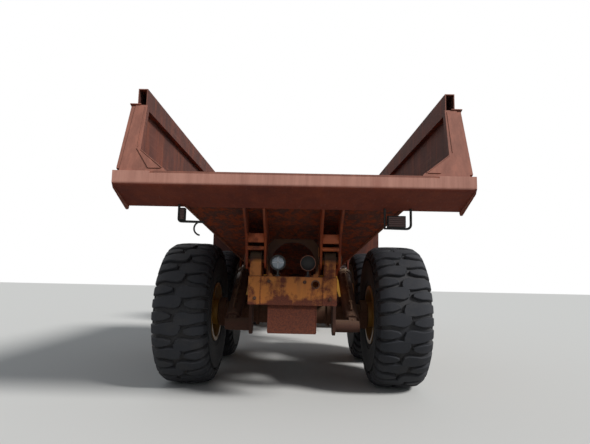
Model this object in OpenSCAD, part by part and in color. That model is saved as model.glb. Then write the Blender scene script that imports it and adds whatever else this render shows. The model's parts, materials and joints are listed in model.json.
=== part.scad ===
/* [Stations, from the tail lip forward] */
// Tail lip to the axis that the body tips about
tail_to_hinge = 800; // [700:10:950]
// Tail lip to the rear axle
tail_to_rear_axle = 1800; // [1720:10:1900]
// Rear axle to middle axle
bogie_gap = 1670; // [1660:10:1760]
// Middle axle to the steering pivot
mid_axle_to_pivot = 2280; // [2200:10:2500]
// Steering pivot to front axle
pivot_to_front_axle = 1900; // [1850:10:2100]
// Front axle to the front of the bumper
front_axle_to_nose = 2550; // [2450:10:2800]

/* [Wheels] */
// Tyre radius, out to the lugs' tips
tyre_r = 805; // [780:1:815]
// Tyre width
tyre_w = 600; // [560:5:620]
// Centre of a tyre from the centreline
wheel_x = 1175; // [1165:5:1190]
// Radius of the rim's bead seat
rim_r = 318; // [300:1:340]
// Width of the rim
rim_w = 520; // [460:5:540]
// Radius of the spindle in the hub
spindle_r = 80; // [60:1:95]

/* [Dump body] */
// Half width of the flat floor
floor_half = 500; // [460:5:540]
// Underside of the flat floor above the ground
floor_z = 1320; // [1310:5:1380]
// Outer face of the upright walls from the centreline
wall_x = 1420; // [1390:5:1430]
// Height of the bend between slanted and upright wall
chine_z = 2350; // [2250:5:2420]
// Top of the side rails
rail_top_z = 2920; // [2850:5:2980]
// Height of a side rail's section
rail_h = 190; // [140:5:220]
// Width of a side rail's section
rail_w = 85; // [70:1:110]
// Wall of a side rail's hollow section
rail_t = 8; // [6:1:12]
// Floor plate
floor_t = 16; // [12:1:25]
// Side plate
side_t = 14; // [10:1:20]
// Height of the tail lip's upper edge
lip_z = 2090; // [2050:5:2120]
// Length of the tail chute
chute_l = 1900; // [1700:10:2100]
// Tail lip to the foot of the headboard
headboard_foot = 4420; // [4350:10:4500]
// Forward lean of the headboard, in degrees from upright
headboard_lean = 14; // [8:1:18]
// Headboard plate
headboard_t = 16; // [12:1:25]
// Top of the headboard's spill guard
guard_z = 3090; // [3000:10:3120]
// Half width of the tail beam
beam_half = 1490; // [1470:5:1495]
// Depth of the tail beam from the lip forward
beam_d = 350; // [300:5:400]
// Height of the tail beam's rear face below the chute
beam_face_h = 105; // [80:5:140]
// Height of the tail beam's lower front edge
beam_toe_z = 1845; // [1800:5:1870]
// Radius of the bend between the beam's two faces
beam_bend_r = 45; // [20:1:60]
// End plate of the tail beam
end_plate_t = 12; // [8:1:16]
// Lean of the rear posts, in degrees from upright
post_lean = 20; // [12:1:25]
// Depth of a rear post
post_d = 60; // [40:1:80]

/* [Body hinge] */
// Height of the axis that the body tips about
hinge_z = 1400; // [1380:5:1430]
// Centre of a hinge from the centreline
hinge_x = 360; // [340:5:380]
// Radius of the hinge pin
hinge_pin_r = 40; // [30:1:50]
// Width of the frame's hinge ear
ear_w = 110; // [90:5:120]
// Gap between the two plates of a body bracket
bracket_gap = 160; // [150:5:170]
// Plate of a body bracket
bracket_t = 20; // [14:1:25]

/* [Rear frame] */
// Inner face of a frame rail from the centreline
frame_in = 300; // [280:5:310]
// Outer face of a frame rail from the centreline
frame_out = 420; // [415:1:430]
// Underside of the frame rails
frame_z0 = 970; // [960:5:990]
// Top of the frame rails
frame_z1 = 1240; // [1220:5:1250]
// Height of the hitch's roll axis
roll_z = 1105; // [1095:5:1115]
// Radius of the hitch's roll stub
stub_r = 170; // [150:5:180]
// Wall round the roll stub
roll_housing_t = 80; // [60:5:90]
// Radius of an axle tube
axle_r = 120; // [100:5:122]
// Outer end of an axle tube from the centreline
axle_end_x = 790; // [770:5:800]

/* [Hoist cylinders] */
// Cylinder's centre plane from the centreline
hoist_x = 640; // [630:2:650]
// Lower pivot ahead of the tipping axis
hoist_base_y = 400; // [390:5:410]
// Lower pivot below the tipping axis
hoist_base_drop = 670; // [660:5:680]
// Upper eye ahead of the tipping axis
hoist_eye_y = 1500; // [1480:5:1520]
// Upper eye below the tipping axis
hoist_eye_drop = 50; // [40:5:60]
// Radius of the hoist barrel
hoist_r = 80; // [70:1:83]
// Radius of the hoist rod
hoist_rod_r = 45; // [35:1:50]

/* [Steering hitch] */
// Radius of the upright steering pins
steer_pin_r = 55; // [45:1:60]
// Half height between the yoke's two arms
yoke_half_h = 200; // [190:5:205]
// Plate of the yoke's arms and of the front frame's jaws
yoke_t = 60; // [50:1:65]
// Steering rod's eye from the centreline
steer_eye_x = 300; // [290:5:310]
// Steering rod's eye behind the pivot
steer_eye_back = 150; // [140:5:160]
// Steering barrel's pivot from the centreline
steer_base_x = 600; // [595:1:605]
// Steering barrel's pivot ahead of the steering pivot
steer_base_y = 900; // [890:5:910]
// Radius of the steering barrel
steer_r = 55; // [45:1:60]
// Radius of the steering rod
steer_rod_r = 30; // [24:1:36]

/* [Tractor] */
// Inner face of a front frame rail from the centreline
nose_rail_in = 240; // [236:1:260]
// Outer face of a front frame rail from the centreline
nose_rail_out = 340; // [320:5:345]
// Steering pivot to the rear face of the front frame
pivot_to_bulkhead = 300; // [290:5:320]
// Half width of the cab
cab_half = 780; // [740:5:800]
// Steering pivot to the cab's rear wall
pivot_to_cab = 720; // [700:10:800]
// Length of the cab
cab_l = 1640; // [1500:10:1660]
// Top of the cab's floor
cab_floor_z = 1750; // [1740:5:1790]
// Top of the cab's roof
cab_top_z = 3330; // [3250:5:3350]
// Wall of the cab
cab_t = 60; // [45:1:70]
// Radius of the front fender's inner face
fender_r = 890; // [870:5:910]
// Plate of the fenders
fender_t = 20; // [12:1:25]
// Half width of the bonnet
bonnet_half = 690; // [650:5:720]
// Height of the bonnet at the windscreen
bonnet_rear_z = 2120; // [2050:5:2150]
// Height of the bonnet at the nose
bonnet_front_z = 1900; // [1820:5:1950]
// Wall of the bonnet
bonnet_t = 30; // [20:1:40]
// Depth of the bumper
bumper_d = 240; // [200:5:280]

/* [Fits and bores] */
// Clearance between a pin and its bore
pin_fit = 0.05; // [0.02:0.01:0.1]
// Gap that parts of one machine keep where curved faces meet
seat_gap = 0.3; // [0.1:0.1:0.5]
// Running gap between moving parts
run_gap = 10; // [6:1:12]
// Radius of the hole through the rear crossmember
tail_hole_r = 30; // [20:1:35]
// Radius of the bore in the front towing eye
tow_eye_r = 26; // [20:1:30]

/* [Hidden] */
$fn = 48;
overall_l = tail_to_rear_axle + bogie_gap + mid_axle_to_pivot + pivot_to_front_axle + front_axle_to_nose;
function ahead(d) = d - overall_l / 2;

hinge_y = ahead(tail_to_hinge);
rear_axle_y = ahead(tail_to_rear_axle);
mid_axle_y = rear_axle_y + bogie_gap;
bogie_y = (rear_axle_y + mid_axle_y) / 2;
pivot_y = mid_axle_y + mid_axle_to_pivot;
front_axle_y = pivot_y + pivot_to_front_axle;
nose_y = ahead(overall_l);
axle_z = tyre_r;

// Slope of the body's slanted walls and of its tail chute
wall_angle = atan2(chine_z - floor_z, wall_x - floor_half);
chute_t = floor_t + 1;
weld_gap = 0.2;
chute_angle = atan2(lip_z - chute_t - floor_z, chute_l);
function chute_under(d) = floor_z + (chute_l - d) * tan(chute_angle);
wall_z1 = rail_top_z - rail_h;

// A block from its lowest to its highest corner
module block(low, high) {
    translate(low) cube(high - low);
}

// An outline in Y and Z, drawn out along X
module along_x(x0, x1) {
    translate([x0, 0, 0]) rotate([90, 0, 90]) linear_extrude(height = x1 - x0) children();
}

// An outline in X and Z, drawn out along Y
module along_y(y0, y1) {
    translate([0, y1, 0]) rotate([90, 0, 0]) linear_extrude(height = y1 - y0) children();
}

// Round bars along each axis, given by their ends
module bar_x(r, x0, x1, y, z) {
    translate([x0, y, z]) rotate([0, 90, 0]) cylinder(r = r, h = x1 - x0);
}

module bar_y(r, x, y0, y1, z) {
    translate([x, y1, z]) rotate([90, 0, 0]) cylinder(r = r, h = y1 - y0);
}

module bar_z(r, x, y, z0, z1) {
    translate([x, y, z0]) cylinder(r = r, h = z1 - z0);
}

// A child and its mirror image on the other side of the truck
module both_sides() {
    children();
    mirror([1, 0, 0]) children();
}

// Wheels

// Half of a tyre's section, from the bead to the middle of the tread
function tyre_half() = [
    [rim_r, rim_w / 2 - 4],
    [rim_r + 30, rim_w / 2 - 4],
    [rim_r + 48, rim_w / 2 + 10],
    [rim_r + 130, tyre_w / 2 - 14],
    [rim_r + 240, tyre_w / 2],
    [tyre_r - 150, tyre_w / 2 - 4],
    [tyre_r - 60, tyre_w / 2 - 22],
    [tyre_r - 18, tyre_w / 2 - 60],
    [tyre_r, tyre_w / 2 - 130]
];

function flipped(points) = [for (i = [len(points) - 1:-1:0]) [points[i][0], -points[i][1]]];

// A tyre round the X axis
module tyre() {
    color([0.13, 0.13, 0.15])
    rotate([0, 90, 0]) rotate_extrude($fn = 96)
        polygon(concat(tyre_half(), flipped(tyre_half())));
}

// Depth of the well between a rim's bead seats
rim_well = 40;
rim_t = 14;
rim_lip = 12;
flange_r = rim_r + 22;
well_r = rim_r - rim_well - rim_t;
disc_t = 24;
disc_z = 60;
boss_r = 150;
hub_r = 190;
hub_out = 170;
bearing_l = 260;
// Inner end of the hub, measured from the wheel's centre inwards
hub_in = wheel_x - axle_end_x - 75 - run_gap;

// A rim round the X axis, its outer side towards +X
module rim() {
    color([0.62, 0.42, 0.14])
    rotate([0, 90, 0]) difference() {
        rotate_extrude($fn = 72) polygon([
            [rim_r - seat_gap, -rim_w / 2], [flange_r, -rim_w / 2], [flange_r, -rim_w / 2 - rim_lip],
            [rim_r - rim_t - 10, -rim_w / 2 - rim_lip], [well_r, -rim_w / 2 + 60],
            [well_r, disc_z], [boss_r, disc_z], [boss_r, -hub_in], [0, -hub_in], [0, disc_z + hub_out],
            [hub_r * 0.47, disc_z + hub_out], [hub_r * 0.58, disc_z + hub_out - 20],
            [hub_r - 25, disc_z + 120], [hub_r, disc_z + 90], [hub_r, disc_z + disc_t],
            [well_r, disc_z + disc_t], [well_r, rim_w / 2 - 60], [rim_r - rim_t - 10, rim_w / 2 + rim_lip],
            [flange_r, rim_w / 2 + rim_lip], [flange_r, rim_w / 2], [rim_r - seat_gap, rim_w / 2],
            [rim_r - seat_gap, rim_w / 2 - 50], [rim_r - rim_well, rim_w / 2 - 110],
            [rim_r - rim_well, -rim_w / 2 + 110], [rim_r - seat_gap, -rim_w / 2 + 50]
        ]);
        translate([0, 0, -hub_in - 1]) cylinder(r = spindle_r + pin_fit, h = bearing_l + 11);
        // Hand holes round the disc
        for (turn = [22.5:45:360])
            rotate([0, 0, turn]) translate([(hub_r + well_r) / 2, 0, disc_z - 1])
                cylinder(r = 22, h = disc_t + 2);
    }
}

// A wheel's place: its axle's Y, and -1 for left or 1 for right
module wheel_place(y, side) {
    translate([side * wheel_x, y, axle_z]) mirror([side < 0 ? 1 : 0, 0, 0]) children();
}

// Reach of an axle's input and output necks, and their height above its centre
pinion_l = 380;
output_l = 240;
shaft_up = 40;

// An axle: tube, differential with its necks, brake housings and spindles
module axle(y, casting_r, back, front) {
    translate([0, y, axle_z]) {
        rotate([0, 90, 0]) rotate_extrude($fn = 48) polygon([
            [0, -casting_r * 0.75], [casting_r * 0.7, -casting_r * 0.75], [casting_r, -casting_r * 0.35],
            [casting_r, casting_r * 0.35], [casting_r * 0.7, casting_r * 0.75], [0, casting_r * 0.75]
        ]);
        bar_x(axle_r, -axle_end_x, axle_end_x, 0, 0);
        both_sides() {
            bar_x(165, axle_end_x, axle_end_x + 75, 0, 0);
            bar_x(spindle_r, axle_end_x + 75, axle_end_x + 75 + bearing_l, 0, 0);
            along_x(400, 430) circle(r = axle_r + 25);
        }
        bar_y(casting_r * 0.5, 0, -back, front, shaft_up);
    }
}

// Rear chassis

tail_cross_y0 = ahead(tail_to_hinge - 100);
tail_cross_y1 = ahead(tail_to_hinge + 50);
frame_front = pivot_y - 760;
housing_y0 = pivot_y - 800;
housing_y1 = pivot_y - 400;
housing_r = stub_r + roll_housing_t;
hoist_base = [hinge_y + hoist_base_y, hinge_z - hoist_base_drop];
hoist_eye = [hinge_y + hoist_eye_y, hinge_z - hoist_eye_drop];
hoist_eye_r = 62;
hoist_pin_r = 40;
hoist_eye_w = 80;
bogie_pivot_r = 75;
bogie_z = 1065;
bogie_in = frame_out + 15;
bogie_out = bogie_in + 100;
bogie_foot_z = axle_z + axle_r + seat_gap;
lamp_x = 145;
lamp_z = 1370;
lamp_r = 78;
arch_half = 250;
arch_top = 1605;
arch_r = 222;
arch_z = 1352;
tail_hole_x = 220;
tail_hole_z = 1170;

// One side's hinge ear, standing on the end of its rail
module hinge_ear() {
    along_x(hinge_x - ear_w / 2, hinge_x + ear_w / 2) {
        polygon([
            [hinge_y - 100, frame_z1], [hinge_y + 230, frame_z1],
            [hinge_y + 78, hinge_z + 35], [hinge_y - 72, hinge_z + 35]
        ]);
        translate([hinge_y, hinge_z]) circle(r = 82);
    }
    bar_x(hinge_pin_r, hinge_x - bracket_gap / 2 - bracket_t - 6, hinge_x + bracket_gap / 2 + bracket_t + 6,
        hinge_y, hinge_z);
}

// Hangers and pins that carry the feet of the hoist cylinders
module hoist_feet() {
    pin_out = hoist_x + hoist_eye_w / 2 + 12;
    color([0.75, 0.45, 0.16]) both_sides() {
        along_x(frame_out, frame_out + 30) polygon([
            [hoist_base[0] - 150, frame_z1 - 40], [hoist_base[0] + 190, frame_z1 - 40],
            [hoist_base[0] + 95, hoist_base[1] - 60], [hoist_base[0] + 40, hoist_base[1] - 95],
            [hoist_base[0] - 40, hoist_base[1] - 95], [hoist_base[0] - 95, hoist_base[1] - 60]
        ]);
        bar_x(hoist_pin_r + 25, frame_out + 30, hoist_x - hoist_eye_w / 2 - 1, hoist_base[0], hoist_base[1]);
        bar_x(hoist_pin_r, frame_out + 30, pin_out, hoist_base[0], hoist_base[1]);
        bar_x(hoist_pin_r + 18, hoist_x + hoist_eye_w / 2 + 1, pin_out + 14, hoist_base[0], hoist_base[1]);
    }
}

module rear_frame() {
    color([0.75, 0.45, 0.16]) {
        both_sides() {
            block([frame_in, tail_cross_y1, frame_z0], [frame_out, frame_front, frame_z1]);
            hinge_ear();
            // Gusset between rail and the housing's cross plate
            along_x(frame_in, frame_out) polygon([
                [frame_front, frame_z0], [housing_y0 + 100, frame_z0 + 30],
                [housing_y0 + 100, frame_z1 - 30], [frame_front, frame_z1]
            ]);
        }
        difference() {
            union() {
                block([-425, tail_cross_y0, frame_z0], [425, tail_cross_y1, frame_z1]);
                block([-230, tail_cross_y0 + 30, 700], [230, tail_cross_y1 - 30, frame_z0]);
            }
            bar_y(tail_hole_r, tail_hole_x, tail_cross_y0 - 1, tail_cross_y1 + 1, tail_hole_z);
        }
        arch_gusset();
        // Cross tubes and the two cross plates before the housing
        bar_x(90, -frame_in, frame_in, rear_axle_y - 500, 1105);
        bar_x(90, -frame_in, frame_in, mid_axle_y + 700, 1105);
        bar_x(bogie_pivot_r, -bogie_out - 20, bogie_out + 20, bogie_y, bogie_z);
        difference() {
            union() {
                block([-frame_out, housing_y0, frame_z0 - 60], [frame_out, housing_y0 + 40, frame_z1 + 60]);
                block([-150, housing_y0, axle_z - 40], [150, housing_y0 + 40, frame_z0 - 60]);
                bar_y(housing_r, 0, housing_y0 + 40, housing_y1, roll_z);
            }
            bar_y(stub_r + pin_fit, 0, housing_y0 - 1, housing_y1 + 1, roll_z);
        }
    }
}

// Plate between the hinge ears, arched over the lamps
module arch_gusset() {
    along_y(hinge_y - 30, hinge_y - 10) difference() {
        polygon([[-arch_half, frame_z1], [arch_half, frame_z1], [arch_half, arch_top - 60],
            [arch_half - 60, arch_top], [-arch_half + 60, arch_top], [-arch_half, arch_top - 60]]);
        translate([0, arch_z]) circle(r = arch_r);
        translate([-arch_r, frame_z1 + 30]) square([2 * arch_r, arch_z - frame_z1 - 30]);
    }
}

module reversing_lamps() {
    color([0.7, 0.7, 0.72]) for (side = [-1, 1]) {
        // Left lamp keeps its lens, the right one is an empty ring
        difference() {
            union() {
                bar_y(lamp_r, side * lamp_x, hinge_y - 90, hinge_y - 40, lamp_z);
                block([side * lamp_x - 12, hinge_y - 70, frame_z1],
                    [side * lamp_x + 12, hinge_y - 50, lamp_z - lamp_r + 6]);
            }
            bar_y(lamp_r - 8, side * lamp_x, hinge_y - 91, hinge_y - (side < 0 ? 78 : 46), lamp_z);
        }
    }
}

module rear_axles() {
    color([0.42, 0.3, 0.22]) {
        axle(rear_axle_y, 225, 0, pinion_l);
        axle(mid_axle_y, 225, output_l, pinion_l);
    }
}

module bogie_beams() {
    color([0.5, 0.33, 0.18]) both_sides() along_x(bogie_in, bogie_out) difference() {
        polygon([
            [rear_axle_y - 110, bogie_foot_z], [rear_axle_y + 110, bogie_foot_z],
            [bogie_y - 150, bogie_z - 130], [bogie_y + 150, bogie_z - 130],
            [mid_axle_y - 110, bogie_foot_z], [mid_axle_y + 110, bogie_foot_z],
            [mid_axle_y + 110, bogie_foot_z + 90], [bogie_y + 160, bogie_z + 120],
            [bogie_y - 160, bogie_z + 120], [rear_axle_y - 110, bogie_foot_z + 90]
        ]);
        translate([bogie_y, bogie_z]) circle(r = bogie_pivot_r + seat_gap);
    }
}

// Columns: rear end, front end
shaft_table = [
    [rear_axle_y + pinion_l, mid_axle_y - output_l],
    [mid_axle_y + pinion_l, housing_y0]
];

module propshafts() {
    color([0.3, 0.28, 0.27]) for (row = shaft_table) {
        bar_y(50, 0, row[0], row[1], axle_z + shaft_up);
        for (y = [row[0], row[1] - 60]) bar_y(85, 0, y, y + 60, axle_z + shaft_up);
    }
}

// Dump body

beam_face_z = chute_under(0) - beam_face_h;
beam_slope = atan2(beam_face_z - beam_toe_z, beam_d);
post_foot = 80;
rail_end = 300;
rib_w = 120;
rib_d = 35;
rib_stations = [1250, 2250, 3250, 4150];
rib_from_x = 1130;
sill_gap = 10;
sill_w = bracket_gap + 2 * bracket_t;
guard_half = 1100;
far = 4000;
body_front = headboard_foot + 780;

function wall_z(x) = floor_z + (x - floor_half) * tan(wall_angle);

// Everything behind the foot of the chute and below its underside, raised by lift
module below_chute(lift) {
    translate([0, ahead(chute_l), floor_z + lift]) rotate([-chute_angle, 0, 0])
        translate([-far / 2, -far, -far]) cube([far, far, far]);
}

// Everything behind the plane of the rear posts
module behind_posts() {
    translate([0, ahead(post_foot), lip_z]) rotate([-post_lean, 0, 0])
        translate([-far / 2, -far, -far]) cube([far, far, 2 * far]);
}

// Everything ahead of the headboard's rear face, moved forward by shift
module ahead_of_headboard(shift) {
    translate([0, ahead(headboard_foot), floor_z]) rotate([-headboard_lean, 0, 0])
        translate([-far / 2, shift, -far]) cube([far, far, 2 * far]);
}

// Everything above the outer face of the right slanted wall
module above_wall() {
    translate([floor_half, 0, floor_z]) rotate([0, -wall_angle, 0])
        translate([-far / 2, -far, 0]) cube([far, 2 * far, far]);
}

module body_floor() {
    color([0.42, 0.24, 0.2]) {
        difference() {
            block([-floor_half, ahead(chute_l), floor_z],
                [floor_half, ahead(headboard_foot + 100), floor_z + floor_t]);
            ahead_of_headboard(0);
        }
        // Tail chute, as wide as the slanted walls leave it
        intersection() {
            along_y(ahead(0), ahead(chute_l)) polygon([
                [-floor_half, floor_z + side_t / cos(wall_angle)], [-floor_half, floor_z - 1],
                [floor_half, floor_z - 1], [floor_half, floor_z + side_t / cos(wall_angle)],
                [wall_x, wall_z(wall_x) + side_t / cos(wall_angle)],
                [-wall_x, wall_z(wall_x) + side_t / cos(wall_angle)]
            ]);
            translate([0, ahead(chute_l), floor_z]) rotate([-chute_angle, 0, 0])
                translate([-far / 2, -far, 0]) cube([far, far, chute_t * cos(chute_angle)]);
        }
    }
}

// The right side: a bent plate, its rail, ribs and rear post
module body_side() {
    color([0.4, 0.2, 0.17]) {
        difference() {
            along_y(ahead(0), ahead(body_front)) polygon([
                [floor_half, floor_z], [wall_x, chine_z], [wall_x, wall_z1], [wall_x - side_t, wall_z1],
                [wall_x - side_t, chine_z + side_t * (1 / cos(wall_angle) - tan(wall_angle))],
                [floor_half, floor_z + side_t / cos(wall_angle)]
            ]);
            below_chute(0);
            behind_posts();
            ahead_of_headboard(0);
        }
        difference() {
            block([wall_x + 20 - rail_w, ahead(rail_end), wall_z1],
                [wall_x + 20, ahead(body_front), rail_top_z]);
            block([wall_x + 20 - rail_w + rail_t, ahead(rail_end) - 1, wall_z1 + rail_t],
                [wall_x + 20 - rail_t, ahead(body_front + 100), rail_top_z - rail_t]);
            ahead_of_headboard(0);
        }
        for (d = rib_stations) along_y(ahead(d), ahead(d) + rib_w) polygon([
            [rib_from_x, wall_z(rib_from_x)], [wall_x, chine_z], [wall_x, wall_z1],
            [wall_x + rib_d, wall_z1], [wall_x + rib_d, chine_z - 15],
            [rib_from_x + 40, wall_z(rib_from_x + 40) - 45]
        ]);
        // Rear post with its foot over the end of the slanted wall
        difference() {
            translate([0, ahead(post_foot), lip_z]) rotate([-post_lean, 0, 0]) along_y(-post_d, 0) polygon([
                [1040, -60], [1075, 0], [1310, 190], [1335, (wall_z1 - lip_z) / cos(post_lean)],
                [wall_x + 20, (wall_z1 - lip_z) / cos(post_lean)], [wall_x + 35, -60]
            ]);
            below_chute(chute_t);
        }
    }
}

module body_side_right() { body_side(); }
module body_side_left() { mirror([1, 0, 0]) body_side(); }

module headboard() {
    color([0.4, 0.2, 0.17]) difference() {
        intersection() {
            along_y(ahead(headboard_foot), ahead(body_front + 100)) polygon([
                [-floor_half, floor_z], [floor_half, floor_z], [wall_x, chine_z], [wall_x, rail_top_z],
                [guard_half, guard_z], [-guard_half, guard_z], [-wall_x, rail_top_z], [-wall_x, chine_z]
            ]);
            ahead_of_headboard(0);
        }
        ahead_of_headboard(headboard_t);
    }
    color([0.4, 0.2, 0.17]) for (x = [-760, -250, 250, 760])
        translate([0, ahead(headboard_foot), floor_z]) rotate([-headboard_lean, 0, 0])
            block([x - 40, headboard_t, abs(x) > floor_half ? 420 : 40], [x + 40, headboard_t + 60, 1600]);
}

// Rear face, bend and lower face of the tail beam
function beam_arc() = [for (a = [180:(90 - beam_slope) / 6:270 - beam_slope + 0.01]) [
    ahead(0) + beam_bend_r + beam_bend_r * cos(a),
    beam_face_z + beam_bend_r * (1 - sin(beam_slope)) / cos(beam_slope) + beam_bend_r * sin(a)
]];

module tail_beam() {
    color([0.5, 0.3, 0.27]) {
        along_x(-beam_half, beam_half) polygon(concat(
            [[ahead(0), chute_under(0) - weld_gap]], beam_arc(),
            [[ahead(beam_d), beam_toe_z], [ahead(beam_d), chute_under(beam_d) - weld_gap]]
        ));
        both_sides() {
            // Top strip outside the slanted wall
            along_x(floor_half + (lip_z - floor_z) / tan(wall_angle) + 8, beam_half) polygon([
                [ahead(0), chute_under(0) - 1], [ahead(beam_d), chute_under(beam_d) - 1],
                [ahead(beam_d), chute_under(beam_d) + chute_t], [ahead(0), chute_under(0) + chute_t]
            ]);
            along_x(beam_half, beam_half + end_plate_t) {
                polygon([
                    [ahead(0), lip_z], [ahead(0), beam_face_z + 20], [ahead(30), beam_face_z - 22],
                    [ahead(beam_d - 20), beam_toe_z - 32], [ahead(beam_d + 30), beam_toe_z + 10],
                    [ahead(beam_d + 10), chute_under(beam_d) + chute_t]
                ]);
                translate([ahead(beam_d - 4), beam_toe_z + 2]) circle(r = 36);
            }
        }
    }
}

// Plate that stands under the chute and reaches down round the hinge pin
module hinge_plate(x0) {
    difference() {
        along_x(x0, x0 + bracket_t) {
            polygon([
                [ahead(beam_d) + weld_gap, chute_under(beam_d) - weld_gap],
                [ahead(chute_l), floor_z - weld_gap], [ahead(chute_l), frame_z1 + sill_gap],
                [hinge_y + 330, frame_z1 + sill_gap],
                [hinge_y + 70, hinge_z - 58], [hinge_y - 88, hinge_z + 20], [hinge_y - 160, hinge_z + 200],
                [ahead(beam_d) + weld_gap, chute_under(beam_d) - 80]
            ]);
            translate([hinge_y, hinge_z]) circle(r = 90);
        }
        bar_x(hinge_pin_r + pin_fit, x0 - 1, x0 + bracket_t + 1, hinge_y, hinge_z);
    }
}

module body_sills() {
    color([0.5, 0.28, 0.18]) both_sides() {
        hinge_plate(hinge_x - bracket_gap / 2 - bracket_t);
        hinge_plate(hinge_x + bracket_gap / 2);
        block([hinge_x - sill_w / 2, ahead(chute_l), frame_z1 + sill_gap],
            [hinge_x + sill_w / 2, ahead(headboard_foot), floor_z - weld_gap]);
        for (d = [chute_l + 250:750:headboard_foot - 700])
            block([0, ahead(d), floor_z - 50], [hinge_x - sill_w / 2, ahead(d + 100), floor_z - weld_gap]);
        // Ears of the hoist cylinder's upper end
        for (x = [hoist_x - hoist_eye_w / 2 - run_gap - bracket_t, hoist_x + hoist_eye_w / 2 + run_gap])
            difference() {
                along_x(x, x + bracket_t) {
                    translate(hoist_eye) circle(r = 75);
                    translate([hoist_eye[0] - 75, hoist_eye[1]]) square([150, 300]);
                }
                above_wall();
            }
    }
}

module mudguards() {
    color([0.3, 0.2, 0.18]) both_sides()
        along_y(ahead(headboard_foot - 70), ahead(headboard_foot - 50)) polygon([
            [820, 1150], [1480, 1150], [1480, chine_z], [wall_x, chine_z], [820, wall_z(820)]
        ]);
}

// Columns: side, lamp's inner and outer X, its lowest and highest Z
lamp_table = [
    [-1, 970, 1030, 1720, 1830],
    [1, 826, 990, 1690, 1795]
];

module tail_lamps() {
    color([0.45, 0.18, 0.14]) for (row = lamp_table) {
        mirror([row[0] < 0 ? 1 : 0, 0, 0]) {
            block([row[1], ahead(beam_d - 65), row[3] - 6], [row[2], ahead(beam_d - 15), row[4]]);
            for (x = [row[1] - 20, row[2] + 24])
                bar_z(12, x, ahead(beam_d - 40), row[3] - 24, beam_toe_z + 10);
            bar_x(12, row[1] - 32, row[2] + 36, ahead(beam_d - 40), row[3] - 12);
        }
    }
}

// Hoist cylinders, lying from the frame up to the body

hoist_l = norm(hoist_eye - hoist_base);
hoist_tilt = atan2(hoist_eye[1] - hoist_base[1], hoist_eye[0] - hoist_base[0]);
hoist_barrel_end = hoist_l - 150;
// Length of the neck between a cylinder's eye and its barrel
neck_l = 80;

module hoist_place() {
    both_sides() translate([hoist_x, hoist_base[0], hoist_base[1]]) rotate([hoist_tilt, 0, 0]) children();
}

module hoist_barrels() {
    color([0.6, 0.38, 0.15]) hoist_place() difference() {
        union() {
            bar_y(hoist_r, 0, neck_l, hoist_barrel_end, 0);
            block([-hoist_eye_w / 2, 0, -hoist_eye_r + 6], [hoist_eye_w / 2, neck_l + 1, hoist_eye_r - 6]);
            bar_y(hoist_r + 3, 0, hoist_barrel_end - 70, hoist_barrel_end, 0);
            bar_x(hoist_eye_r, -hoist_eye_w / 2, hoist_eye_w / 2, 0, 0);
        }
        bar_x(hoist_pin_r + pin_fit, -hoist_eye_w, hoist_eye_w, 0, 0);
        bar_y(hoist_rod_r + pin_fit, 0, 110, hoist_barrel_end + 1, 0);
    }
}

module hoist_rods() {
    color([0.7, 0.7, 0.72]) hoist_place() difference() {
        union() {
            bar_y(hoist_rod_r, 0, 130, hoist_l - 20, 0);
            bar_x(hoist_eye_r, -hoist_eye_w / 2, hoist_eye_w / 2, hoist_l, 0);
        }
        bar_x(hoist_pin_r, -hoist_eye_w, hoist_eye_w, hoist_l, 0);
    }
}

// Hitch: a stub that rolls in the rear frame, with two arms for the upright pins

flange_y0 = housing_y1 + run_gap;
flange_t = 60;
arm_half = 125;
steer_eye_r = 52;
steer_eye_t = 56;
lug_t = 20;

module hitch_yoke() {
    color([0.35, 0.25, 0.2]) {
        bar_y(stub_r, 0, housing_y0 + 20, flange_y0 + 5, roll_z);
        bar_y(300, 0, flange_y0, flange_y0 + flange_t, roll_z);
        block([-90, flange_y0 + flange_t, roll_z - yoke_half_h], [90, pivot_y - 150, roll_z + yoke_half_h]);
        for (z = [roll_z - yoke_half_h, roll_z + yoke_half_h - yoke_t]) translate([0, 0, z]) difference() {
            linear_extrude(height = yoke_t) {
                polygon([
                    [-200, flange_y0 + flange_t], [200, flange_y0 + flange_t],
                    [arm_half, pivot_y], [-arm_half, pivot_y]
                ]);
                translate([0, pivot_y]) circle(r = arm_half);
            }
            bar_z(steer_pin_r + pin_fit, 0, pivot_y, -1, yoke_t + 1);
        }
        // Lugs for the steering rods
        for (z = [roll_z - steer_eye_t / 2 - run_gap - lug_t, roll_z + steer_eye_t / 2 + run_gap])
            both_sides() translate([0, 0, z]) linear_extrude(height = lug_t) {
                polygon([
                    [60, flange_y0 + flange_t], [240, flange_y0 + flange_t],
                    [steer_eye_x + 48, pivot_y - steer_eye_back - 40],
                    [steer_eye_x - 10, pivot_y - steer_eye_back + 66],
                    [60, pivot_y - 155]
                ]);
                translate([steer_eye_x, pivot_y - steer_eye_back]) circle(r = 66);
            }
    }
}

steer_vec = [steer_eye_x - steer_base_x, -steer_eye_back - steer_base_y];
steer_l = norm(steer_vec);
steer_turn = atan2(steer_vec[0], -steer_vec[1]);
// How far the steering rod runs in or out of its barrel from straight ahead
steer_travel = 236;
steer_barrel_l = steer_l - steer_travel - 110;
steer_bore_end = neck_l + 40;
steer_foot_y = pivot_y + steer_base_y;

// Right cylinder's own frame: its pivot at the origin, its rod towards -Y
module steer_place() {
    translate([steer_base_x, steer_foot_y, roll_z]) rotate([0, 0, steer_turn]) children();
}

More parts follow.
